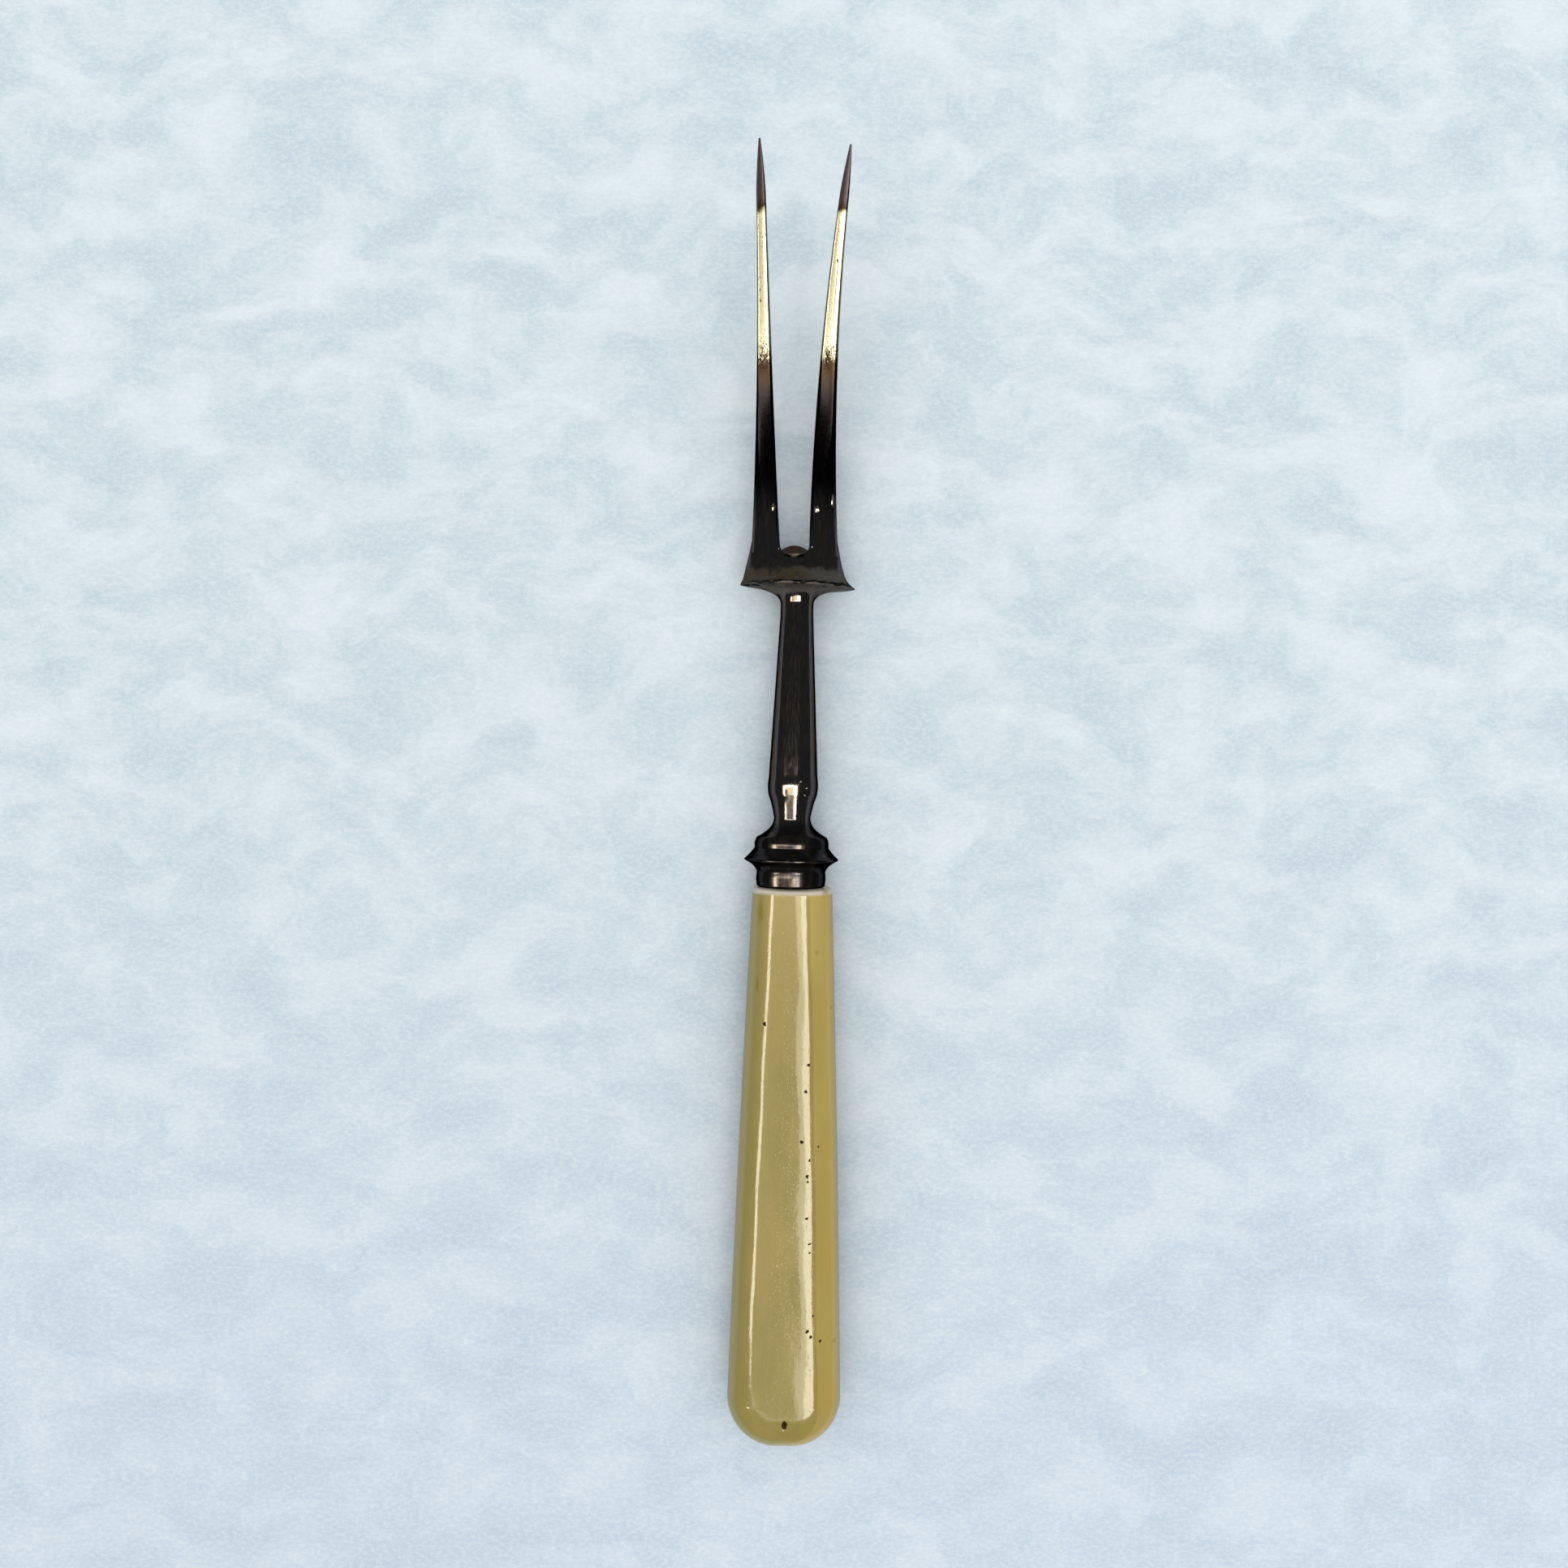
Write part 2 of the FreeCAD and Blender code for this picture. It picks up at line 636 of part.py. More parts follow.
def tine_section(hand, reach, full):
    """The tine's outline across its middle line: a half lens at the root, square further out.

    Its front and back each have two facets that meet in a low ridge. The inner edge is thick, and
    the outer edge is thin at the root and swells to the inner one's depth along the first third.
    """
    width = taper_law(reach, full, "tine_root_width", hand + "_middle_width",
                      "tine_point_width", "tine_tip_width")
    depth = taper_law(reach, full, "tine_root_depth", "tine_middle_depth",
                      "tine_point_depth", "tine_tip_width")
    squared = min(1.0, max(0.0, reach) / (full * 0.42))
    squared = squared * squared * (3 - 2 * squared)
    inner = depth / 2 * mix(0.93, 0.8, squared)
    outer = depth / 2 * mix(0.16, 0.8, squared)
    ridge_place = width * mix(-0.16, 0.0, squared)
    half = width / 2
    points = [
        Vector(-half, inner, 0), Vector(ridge_place, depth / 2, 0), Vector(half, outer, 0),
        Vector(half, -outer, 0), Vector(ridge_place, -depth / 2, 0), Vector(-half, -inner, 0),
    ]
    inner_round = width * mix(0.2, 0.14, squared)
    ridge_round = width * mix(0.5, 0.1, squared)
    outer_round = width * mix(0.06, 0.13, squared)
    radii = [inner_round, ridge_round, outer_round, outer_round, ridge_round, inner_round]
    if hand == "left":
        points = [Vector(-point.x, point.y, 0) for point in reversed(points)]
        radii = list(reversed(radii))
    middle, turn = tine_frame(hand, reach)
    lean = Rotation(Vector(1, 0, 0), 90 + math.degrees(turn))
    return rounded_polygon(points, radii, Placement(middle, lean))


def tine_solid(hand, full):
    """One tine, lofted from inside the shoulder to its point."""
    root = size("tine_root_height") - size("bend_height")
    start = full - size("tine_point_length")
    reaches = [root, start * 0.08, start * 0.2, start * 0.34, start * 0.5, start * 0.68, start * 0.85]
    reaches += [mix(start, full, share) for share in (0.0, 0.35, 0.65, 0.88, 1.0)]
    sections = [tine_section(hand, reach, full) for reach in reaches]
    return Part.makeLoft(sections, True, False)


shoulder = doc.addObject("Part::Feature", "shoulder")
shoulder.Shape = shoulder_solid().cut(slot_tool())
right_tine = doc.addObject("Part::Feature", "right_tine")
right_tine.Shape = tine_solid("right", size("tine_length"))
left_tine = doc.addObject("Part::Feature", "left_tine")
left_tine.Shape = tine_solid("left", size("tine_length") + size("longer_tine_extra"))

# The forging in one piece.

fork = doc.addObject("Part::MultiFuse", "fork")
fork.Shapes = [
    tang, lower_bead, lower_drum, lower_flare, ridge, upper_flare, upper_drum, cove,
    stem, shoulder, right_tine, left_tine,
]
doc.recompute()

# The whole fork lies on the flat back of the handle, and the back of the rim is a hair above the
# table. Its origin is on the table under the middle of its box.

back_slope = (size("handle_butt_depth") - size("handle_top_depth")) / 2 / size("handle_length")
lean = Rotation(Vector(1, 0, 0), -math.degrees(math.atan(back_slope)))
box = FreeCAD.BoundBox()
for piece in (fork, handle):
    leaning = piece.Shape.transformed(Placement(Vector(0, 0, 0), lean).Matrix)
    box.add(leaning.optimalBoundingBox(False))
back_edge = lean.multVec(Vector(0, 0, -size("handle_butt_depth") / 2))
laid = Placement(
    Vector(-(box.XMin + box.XMax) / 2, -(box.YMin + box.YMax) / 2, -back_edge.z), lean)

NODES = [fork, handle, tang_cement]
for node in NODES:
    node.Label = node.Name
    node.Placement = laid
doc.recompute()

for thing in doc.Objects:
    if "Invalid" in thing.State or "Error" in thing.State:
        raise RuntimeError(f"{thing.Name} failed: {thing.State}")
for node in NODES:
    if node.Shape.isNull() or not node.Shape.isValid() or len(node.Shape.Solids) != 1:
        raise RuntimeError(f"{node.Name} is not one valid solid")

os.makedirs("parts", exist_ok=True)
for node in NODES:
    node.Shape.exportStep(f"parts/{node.Label}.step")
    bounds = node.Shape.optimalBoundingBox(False)
    print(node.Label, "volume", round(node.Shape.Volume, 1), "faces", len(node.Shape.Faces),
          [round(value, 2) for value in (bounds.XMin, bounds.XMax, bounds.YMin, bounds.YMax,
                                         bounds.ZMin, bounds.ZMax)])
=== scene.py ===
import math

import bmesh
import bpy
import numpy as np
from mathutils import Matrix


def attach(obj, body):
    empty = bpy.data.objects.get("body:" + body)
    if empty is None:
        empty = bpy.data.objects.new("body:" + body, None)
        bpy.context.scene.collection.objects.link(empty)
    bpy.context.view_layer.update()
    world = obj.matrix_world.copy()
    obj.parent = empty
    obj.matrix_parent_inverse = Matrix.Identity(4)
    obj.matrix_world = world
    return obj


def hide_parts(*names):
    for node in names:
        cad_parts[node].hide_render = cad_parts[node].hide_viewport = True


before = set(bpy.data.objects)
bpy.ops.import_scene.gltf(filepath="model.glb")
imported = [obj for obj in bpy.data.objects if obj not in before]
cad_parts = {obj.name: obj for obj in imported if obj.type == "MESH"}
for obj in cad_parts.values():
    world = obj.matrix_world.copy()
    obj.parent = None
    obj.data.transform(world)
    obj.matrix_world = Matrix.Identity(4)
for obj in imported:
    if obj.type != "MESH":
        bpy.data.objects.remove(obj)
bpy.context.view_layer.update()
MM = 0.001

# Fork: one forging of carbon steel, from the hidden tang to the points, hammered out, turned, filed
# and burnished bright. Age has given it a near black skin with brown and blue casts. The tines are
# rubbed pale on top, and rust and grease stay in the crotch and along the shoulder.
HANDLE_LENGTH = 117.0
DEPTH_AT_BUTT, DEPTH_AT_TOP = 15.8, 15.0
FORK_BUTT = (0.0, -130.505641, 7.899954)
ROUND_COLUMNS = 144

TANG_LENGTH = 72.0
TANG_HALF_END, TANG_HALF_TOP = (1.5, 1.3), (3.0, 2.3)

# Straight runs of the turned length: start place, start radius, end place, end radius, outward bow
# and rows. The places are counted from the collar's base.
COLLAR_RUNS = [
    (0.0, 6.7, 0.5, 7.2, 0.14, 6), (0.5, 7.2, 3.2, 7.2, 0.12, 12), (3.2, 7.2, 5.6, 9.8, -0.5, 12),
    (5.6, 9.8, 5.95, 9.8, 0.06, 4), (5.95, 9.8, 8.25, 7.75, -0.15, 10),
    (8.25, 7.75, 10.45, 7.35, 0.2, 10)]
SHANK_RUNS = [
    (14.55, 3.85, 19.35, 5.13, -0.12, 16), (19.35, 5.13, 22.95, 5.13, 0.16, 14),
    (22.95, 5.13, 56.95, 3.45, 0.0, 50), (56.95, 3.45, 58.95, 3.45, 0.0, 4)]
COVE_START, COVE_LENGTH = 10.45, 4.1
DRUM_RADIUS, NECK_RADIUS = 7.35, 3.85
COVE_POWER = 2.3
COLLAR_SHARE = 0.74
COLLAR_SHIFT, SHIFT_LENGTH = -0.37, 62.9

FLARE_START = 58.95
FLARE_TURN = 80
RIM_PLACE = HANDLE_LENGTH + 62.55
RIM_TOP = RIM_PLACE + 0.35
SHANK_TOP = 6.9
RIM_WIDTH, RIM_DEPTH = 23.9, 14.4
RIM_SKEW = 1.4
SHOULDER_HEIGHT = 13.6
SHOULDER_WIDTH, SHOULDER_DEPTH = 16.6, 5.4
HEAD_SHIFT = -0.75

SLOT_HALF, SLOT_TOP_FLARE = 3.05, 1.5
CROTCH_FRONT, CROTCH_BACK = 5.3, 9.3
CROTCH_HOLLOW, CROTCH_HUMP = 2.4, 1.3

TINE_BEND = 140.0
TINE_START = 3.8
POINT_LENGTH = 10.0
TINE_ROOT, TINE_POINT, TINE_TIP = (6.25, 6.5), (1.85, 1.95), 0.36
TINE_MIDDLE_DEPTH = 4.1
FLAT_FROM = 0.42
RIDGE_PLACE, RIDGE_SOFTNESS = -0.32, 0.02


def laid(points):
    """Points drawn from the butt along +Y, leant to lie on the handle's back and moved in place."""
    lean = -math.atan((DEPTH_AT_BUTT - DEPTH_AT_TOP) / 2 / HANDLE_LENGTH)
    x, y, z = np.moveaxis(np.asarray(points, float), -1, 0)
    turned = np.stack([x, y * math.cos(lean) - z * math.sin(lean),
                       y * math.sin(lean) + z * math.cos(lean)], -1)
    return (turned + FORK_BUTT) * MM


def shell(name, points, ends_in_line=False):
    """A closed skin of rows of points, each row a closed ring, with a fan over each open end.

    A last ring that lies flat on a line is closed by welding its two halves. The faces are turned
    outwards where the sum of a . (b x c) over the triangles, six times the volume, is negative.
    """
    rows, columns = points.shape[:2]
    ends = np.stack([points[0].mean(0), points[-1].mean(0)])
    vertices = laid(np.concatenate([points.reshape(-1, 3), ends]))
    row, column = np.meshgrid(np.arange(rows - 1), np.arange(columns), indexing="ij")
    here, beside = row * columns + column, row * columns + (column + 1) % columns
    quads = np.stack([here, beside, beside + columns, here + columns], -1).reshape(-1, 4)
    ring = np.arange(columns)
    onward = (ring + 1) % columns
    last = (rows - 1) * columns
    start_fan = np.stack([onward, ring, np.full(columns, rows * columns)], -1)
    end_fan = np.stack([last + ring, last + onward, np.full(columns, rows * columns + 1)], -1)
    faces = quads.tolist() + start_fan.tolist() + end_fan.tolist()
    triangles = np.concatenate([quads[:, [0, 1, 2]], quads[:, [0, 2, 3]], start_fan, end_fan])
    if ends_in_line:
        faces, vertices, triangles = faces[:-columns], vertices[:-1], triangles[:-columns]
    a, b, c = (vertices[triangles[:, i]] for i in range(3))
    if np.einsum("ij,ij->i", a, np.cross(b, c)).sum() < 0:
        faces = [face[::-1] for face in faces]
    mesh = bpy.data.meshes.new(name)
    mesh.from_pydata(vertices.tolist(), [], faces)
    welded = bmesh.new()
    welded.from_mesh(mesh)
    bmesh.ops.remove_doubles(welded, verts=welded.verts, dist=2e-6)
    welded.to_mesh(mesh)
    welded.free()
    piece = bpy.data.objects.new(name, mesh)
    bpy.context.scene.collection.objects.link(piece)
    return piece


def full_turn():
    """The angles of a ring's points, once round."""
    return np.linspace(0, 2 * np.pi, ROUND_COLUMNS, endpoint=False)


def bowed(runs):
    """Rows of place and radius along straight runs that bow out by half a sine wave."""
    rows = []
    for start, start_radius, end, end_radius, bow, count in runs:
        share = np.linspace(0, 1, count, endpoint=False)
        radius = start_radius + (end_radius - start_radius) * share + bow * np.sin(np.pi * share)
        rows.append(np.stack([start + (end - start) * share, radius], -1))
    return np.concatenate(rows)


def tang_rings():
    """Square rings from the tang's blunt end in the bore up to the collar's base.

    Dividing a circle's point by the larger of its sine and cosine puts it on a square.
    """
    share = np.linspace(0, 1, 5)[:, None]
    turn = full_turn()
    square = np.maximum(np.abs(np.cos(turn)), np.abs(np.sin(turn)))
    half_x, half_z = (end + (top - end) * share for end, top in zip(TANG_HALF_END, TANG_HALF_TOP))
    return np.stack([half_x * np.cos(turn) / square,
                     HANDLE_LENGTH - TANG_LENGTH * (1 - share) + 0 * turn,
                     half_z * np.sin(turn) / square], -1)


def turned_rings():
    """Oval rings of the collar that grow round up the cove, then the neck, knop and shank.

    The cove's radius falls to the neck's as (1 - share) to the power of 2.3.
    """
    share = np.linspace(0, 1, 18, endpoint=False)
    cove = np.stack([COVE_START + COVE_LENGTH * share,
                     NECK_RADIUS + (DRUM_RADIUS - NECK_RADIUS) * (1 - share) ** COVE_POWER], -1)
    place, radius = np.concatenate([bowed(COLLAR_RUNS), cove, bowed(SHANK_RUNS)]).T
    past = np.clip((place - COVE_START) / COVE_LENGTH, 0, 1)
    flatness = 1 - (1 - COLLAR_SHARE) * (1 - past) ** COVE_POWER
    shift = COLLAR_SHIFT * (1 - place / SHIFT_LENGTH)
    turn = full_turn()
    return np.stack([shift[:, None] + radius[:, None] * np.cos(turn),
                     HANDLE_LENGTH + place[:, None] + 0 * turn,
                     (radius * flatness)[:, None] * np.sin(turn)], -1)


def lens_rings(place, width, depth, skew, shift):
    """Rings of two circular arcs with pointed ends, skewed in plan; equal sizes give a circle.

    An arc of half width h and rise r has the radius (h^2 + r^2) / 2r.
    """
    half, rise = width / 2, depth / 2
    bend = (half ** 2 + rise ** 2) / (2 * rise)
    reach = np.where(rise >= half - 1e-9, np.pi / 2, np.arcsin(np.clip(half / bend, 0, 1)))
    turn = full_turn()
    front = turn < np.pi
    sweep = np.where(front, 1 - 2 * turn / np.pi, 2 * turn / np.pi - 3)
    angle = reach[:, None] * sweep
    x = bend[:, None] * np.sin(angle)
    z = (rise - bend)[:, None] + bend[:, None] * np.cos(angle)
    y = place[:, None] - np.tan(np.radians(skew))[:, None] * x
    return np.stack([x + shift[:, None], y, np.where(front, z, -z)], -1)


def head_rings():
    """The trumpet, its thin rim and the shoulder that narrows above it.

    The trumpet's profile is a quarter circle's, up by the sine and out by 1 - cosine. The shoulder
    falls away fast by the rim and slowly further on, so each size blends two powers of the fall.
    """
    turn = np.radians(np.linspace(0, FLARE_TURN, 22))
    out = (1 - np.cos(turn)) / (1 - np.cos(turn[-1]))
    up = np.sin(turn) / np.sin(turn[-1])
    start = HANDLE_LENGTH + FLARE_START
    shank_shift = COLLAR_SHIFT * (1 - FLARE_START / SHIFT_LENGTH)
    trumpet = lens_rings(start + (RIM_PLACE - start) * up,
                         SHANK_TOP + (RIM_WIDTH - SHANK_TOP) * out ** 1.2,
                         SHANK_TOP + (RIM_DEPTH - SHANK_TOP) * out ** 1.1,
                         RIM_SKEW * out, shank_shift * (1 - out))
    share = np.linspace(0, 1, 46) ** 1.5
    fall = 1 - share
    wide = 0.76 * fall ** 1.3 + 0.24 * fall ** 16
    deep = 0.55 * fall ** 1.1 + 0.45 * fall ** 10
    shoulder = lens_rings(RIM_TOP + SHOULDER_HEIGHT * share,
                          SHOULDER_WIDTH + (RIM_WIDTH - SHOULDER_WIDTH) * wide,
                          SHOULDER_DEPTH + (RIM_DEPTH - SHOULDER_DEPTH) * deep,
                          RIM_SKEW * fall, HEAD_SHIFT * (1 - fall ** 10))
    return np.concatenate([trumpet, shoulder])


def slot_rings():
    """A bar that files out the slot, flared at its far end so that no wall stands proud of a tine.

    Its floor is hollow at the front, by a fourth power and a half of the place across, and humped
    at the back, by its square, with a straight slant through the middle 8 mm.
    """
    deep = np.linspace(-9, 9, 37)
    slant = np.clip((deep + 4.0) / 8.0, 0, 1)[:, None]
    across = np.linspace(-1, 1, 41)
    far = np.linspace(1, -1, 21)
    front = RIM_TOP + CROTCH_FRONT + CROTCH_HOLLOW * np.abs(across) ** 4.5
    back = RIM_TOP + CROTCH_BACK - CROTCH_HUMP * across ** 2
    floor = back + (front - back) * slant
    x = np.concatenate([across * SLOT_HALF, far * (SLOT_HALF + SLOT_TOP_FLARE)]) + HEAD_SHIFT
    y = np.concatenate([floor, np.full((len(deep), len(far)), RIM_TOP + 30)], 1)
    return np.stack([np.broadcast_to(x, y.shape), y, np.broadcast_to(deep[:, None], y.shape)], -1)


def tapered(reach, full, root, middle, point):
    """A size that runs through root, middle and point by a parabola, then falls to the tip's."""
    start = full - POINT_LENGTH
    share = np.clip(reach, 0, None) / start
    body = (root + (4 * middle - 3 * root - point) * share
            + (2 * root - 4 * middle + 2 * point) * share ** 2)
    end = point + (TINE_TIP - point) * np.clip((reach - start) / POINT_LENGTH, 0, 1) ** 1.5
    return np.where(share < 1, body, end)


def tine_rings(side, full, root_offset, root_lean, splay_radius, middle_width):
    """Rings across a tine that bends up on a long arc, a half lens at the root and near flat later.

    A ring is a superellipse, x = cos(t)^p and z = sin(t)^p, with two facets that slope down from
    a ridge by the inner edge. The ridge's kink is softened as the root of d^2 + 0.02.
    """
    reach = np.concatenate([np.linspace(-1.8, full - 4, 130, endpoint=False),
                            np.linspace(full - 4, full, 16)])
    width = tapered(reach, full, TINE_ROOT[0], middle_width, TINE_POINT[0])
    depth = tapered(reach, full, TINE_ROOT[1], TINE_MIDDLE_DEPTH, TINE_POINT[1])
    square = np.clip(reach / (full * FLAT_FROM), 0, 1)
    square = (square * square * (3 - 2 * square))[:, None]
    turn = np.linspace(0, 2 * np.pi, 72, endpoint=False)
    power = 2 / (3.2 + 2.6 * square)
    across = np.sign(np.cos(turn)) * np.abs(np.cos(turn)) ** power
    through = np.sign(np.sin(turn)) * np.abs(np.sin(turn)) ** power
    ridge = RIDGE_PLACE * (1 - square)
    inner, outer = 0.93 + 0.04 * square, 0.16 + 0.81 * square
    slope = np.where(across < ridge, (1 - inner) / (ridge + 1), (1 - outer) / (1 - ridge))
    facet = 1 - slope * (np.sqrt((across - ridge) ** 2 + RIDGE_SOFTNESS) - 0.14)
    bent = np.clip(reach, 0, None)
    sweep = (bent / TINE_BEND)[:, None]
    middle = (root_offset + math.tan(math.radians(root_lean)) * bent
              + bent ** 2 / (2 * splay_radius))[:, None]
    local = through * facet * (depth / 2)[:, None]
    start = RIM_TOP + TINE_START + np.clip(reach, None, 0)[:, None]
    x = side * (middle + across * (width / 2)[:, None])
    y = start + TINE_BEND * np.sin(sweep) - np.sin(sweep) * local
    z = TINE_BEND * (1 - np.cos(sweep)) + np.cos(sweep) * local
    return np.stack([x, y, z], -1)


def cut_or_join(piece, tool, how):
    """Takes the tool off the piece or fuses it on, and clears the tool away."""
    modifier = piece.modifiers.new(how, "BOOLEAN")
    modifier.operation = how
    modifier.object = tool
    modifier.solver = "EXACT"
    seen = piece.evaluated_get(bpy.context.evaluated_depsgraph_get())
    cut = bpy.data.meshes.new_from_object(seen)
    piece.modifiers.clear()
    piece.data = cut
    bpy.data.objects.remove(tool)


right_tine = tine_rings(1, 80.9, 5.35, -1.8, 580.0, 3.95)
left_tine = tine_rings(-1, 81.69, 6.7, 0.9, 3900.0, 3.4)
forging = shell("fork_forging", np.concatenate([tang_rings(), turned_rings(), head_rings()]))
cut_or_join(forging, shell("slot_bar", slot_rings()), "DIFFERENCE")
cut_or_join(forging, shell("right_tine", right_tine), "UNION")
cut_or_join(forging, shell("left_tine", left_tine), "UNION")
forging.data.shade_smooth()
forging.data.set_sharp_from_angle(angle=math.radians(38))
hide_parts("fork")
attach(forging, "root")

EASED = {"interpolation_type": "SMOOTHSTEP"}
TIMES, PLUS, LESS, MOST = ({"operation": how} for how in ("MULTIPLY", "ADD", "SUBTRACT", "MAXIMUM"))
TINTED = {"data_type": "RGBA"}


def linear(hex_colour):
    """An sRGB hex colour as linear red, green, blue and full cover."""
    parts = np.array([int(hex_colour[i:i + 2], 16) for i in (0, 2, 4)]) / 255
    low, high = parts / 12.92, ((parts + 0.055) / 1.055) ** 2.4
    return (*np.where(parts <= 0.04045, low, high), 1.0)


def add(tree, kind, settings=None, out=0, **inputs):
    """Adds a node with its settings, sets or links its inputs, and gives one of its outputs.

    An input goes by its name, or by its number as i0, i1 and so on.
    """
    node = tree.nodes.new("ShaderNode" + kind)
    for key, value in (settings or {}).items():
        setattr(node, key, value)
    for key, value in inputs.items():
        socket = node.inputs[int(key[1:])] if key[1:].isdigit() else node.inputs[key]
        if isinstance(value, bpy.types.NodeSocket):
            tree.links.new(value, socket)
        else:
            socket.default_value = value
    return node.outputs[out]


def new_material(name):
    """A material, its node tree, its shader and its Object coordinates in millimetres."""
    material = bpy.data.materials.new(name)
    material.use_nodes = True
    tree = material.node_tree
    tree.nodes.clear()
    shader = tree.nodes.new("ShaderNodeBsdfPrincipled")
    surface = tree.nodes.new("ShaderNodeOutputMaterial").inputs["Surface"]
    tree.links.new(shader.outputs[0], surface)
    coordinates = add(tree, "TexCoord", out="Object")
    place = add(tree, "Mapping", Vector=coordinates, Scale=(1 / MM,) * 3)
    return material, tree, shader, place


def pattern(tree, place, grain, detail=3.0, rough=0.5):
    """Noise from 0 to 1 whose lumps have the given size in millimetres along each axis."""
    scaled = add(tree, "Mapping", Vector=place, Scale=tuple(1 / size for size in grain))
    return add(tree, "TexNoise", out="Fac", Vector=scaled, Scale=1.0, Detail=detail,
               Roughness=rough)


def ragged(tree, place, lump, reach):
    """The place, moved about by up to the reach in lumps of the given size, both in millimetres."""
    scaled = add(tree, "Mapping", Vector=place, Scale=(1 / lump,) * 3)
    noise = add(tree, "TexNoise", out="Color", Vector=scaled, Scale=1.0, Detail=3.0)
    centred = add(tree, "VectorMath", LESS, i0=noise, i1=(0.5, 0.5, 0.5))
    moved = add(tree, "VectorMath", {"operation": "SCALE"}, i0=centred, Scale=2 * reach)
    return add(tree, "VectorMath", PLUS, i0=place, i1=moved)


def spot(tree, place, centre, reach, edge, strength=1.0, lean=0.0):
    """A blot of the given strength inside an ellipsoid of these half lengths, and 0 outside it.

    Its length leans from +Y by the given degrees, against the clock as seen from above.
    """
    local = add(tree, "Mapping", {"vector_type": "TEXTURE"}, Vector=place, Location=centre,
                Rotation=(0, 0, math.radians(lean)), Scale=reach)
    distance = add(tree, "VectorMath", {"operation": "LENGTH"}, out="Value", i0=local)
    return add(tree, "MapRange", EASED, i0=distance, i1=1.0, i2=1.0 - edge, i4=strength)


def stretch(tree, along, start, full, past, end):
    """A band along the length that is 1 from full to past and eases to 0 at start and at end."""
    rise = add(tree, "MapRange", EASED, i0=along, i1=start, i2=full)
    fall = add(tree, "MapRange", EASED, i0=along, i1=end, i2=past)
    return add(tree, "Math", TIMES, i0=rise, i1=fall)


# Burnished carbon steel under old tarnish: mirror smooth where it was turned, so lamps show sharp,
# with lengthwise polishing scratches, drawn about 0.14 mm apart, coarser than the real ones.
RIM_Y = 49.4
CROTCH = (-0.7, 56.6, 6.2)
CROTCH_LIP_GLINT = (-0.9, 55.4, 8.0)
# Nicks in the rubbed tops of the tines: across and along.
NICKS = [(-8.46, 106.0), (-8.2, 104.3), (-7.2, 104.0), (6.9, 111.2)]
# Hammer dents that catch the lamp: across, along, half width and half length.
DENTS = [(-5.2, 65.2, 0.6, 1.1), (3.6, 64.9, 0.85, 0.8), (6.9, 66.8, 0.3, 1.9),
         (-4.1, 56.6, 0.25, 0.25), (2.9, 57.1, 0.25, 0.25), (1.3, 8.7, 0.28, 0.28),
         (0.8, 8.1, 0.3, 0.2), (2.6, 7.3, 0.2, 0.2), (2.2, 5.8, 0.18, 0.3)]
# Spots on the knop and below the trumpet, paled where the lamp's highlights fall to whiten them:
# painted highlights. In the same order as the dents.
HIGHLIGHT_RUBS = [(-0.9, 6.9, 1.5, 1.5), (-0.3, 46.5, 1.1, 0.9)]

steel, tree, shader, place = new_material("tarnished_carbon_steel")
rough_place = ragged(tree, place, 2.5, 1.2)
across = add(tree, "SeparateXYZ", out="X", Vector=rough_place)
along = add(tree, "SeparateXYZ", out="Y", Vector=rough_place)
scratches = pattern(tree, place, (0.14, 7.0, 0.14))
blotches = pattern(tree, place, (2.2, 7.0, 2.2), 5.0, 0.6)
specks = pattern(tree, place, (0.5, 0.7, 0.5), 4.0)

# Rubbed tops of the tines: streaky at their lower end, with specks, nicks and one dark line.
uneven = add(tree, "MapRange", EASED, i0=scratches, i1=0.3, i2=0.7, i3=-2.0, i4=2.0)
streaked = add(tree, "Math", PLUS, i0=along, i1=uneven)
rubbed_from = add(tree, "MapRange", EASED, i0=streaked, i1=92.5, i2=97.5)
rubbed_to = add(tree, "MapRange", EASED, i0=along, i1=120.6, i2=118.2)
rubbed = add(tree, "Math", TIMES, i0=rubbed_from, i1=rubbed_to)
dark_line = spot(tree, place, (6.35, 105.0, 24.0), (0.16, 11.0, 12.0), 0.5, 0.5, -3.8)
marks = [spot(tree, rough_place, (x, y, 24.0), (0.25, 0.6, 8.0), 0.5) for x, y in NICKS]
speckled = add(tree, "MapRange", EASED, i0=specks, i1=0.22, i2=0.32)
scored = add(tree, "MapRange", EASED, i0=scratches, i1=0.28, i2=0.42, i3=0.55, i4=1.0)
unmarked = [add(tree, "Math", LESS, i0=1.0, i1=mark) for mark in [dark_line] + marks]
bright = rubbed
for part in [speckled, scored] + unmarked:
    bright = add(tree, "Math", TIMES, i0=bright, i1=part)

# Tarnish, from the base coat up: grey and brown blotches, browner scratches, near black tines, dark
# points, a burnt brown run below the rubbed tops, and the rubbed tops themselves.
grey_part = add(tree, "MapRange", i0=blotches, i1=0.32, i2=0.5)
brown_part = add(tree, "MapRange", i0=blotches, i1=0.5, i2=0.7)
scratched = add(tree, "MapRange", EASED, i0=scratches, i1=0.45, i2=0.62, i4=0.6)
tine_part = add(tree, "MapRange", EASED, i0=along, i1=60.0, i2=72.0)
points = add(tree, "MapRange", EASED, i0=along, i1=117.0, i2=120.0)
burnt_from = add(tree, "MapRange", EASED, i0=streaked, i1=87.0, i2=93.0)
burnt_to = add(tree, "MapRange", EASED, i0=along, i1=121.5, i2=119.5)
burnt = add(tree, "Math", TIMES, i0=burnt_from, i1=burnt_to)
shown = add(tree, "MapRange", EASED, i0=bright, i1=0.3, i2=1.0)
colour = add(tree, "Mix", TINTED, 2, i0=grey_part, i6=linear("4a4b54"), i7=linear("4b4b4b"))
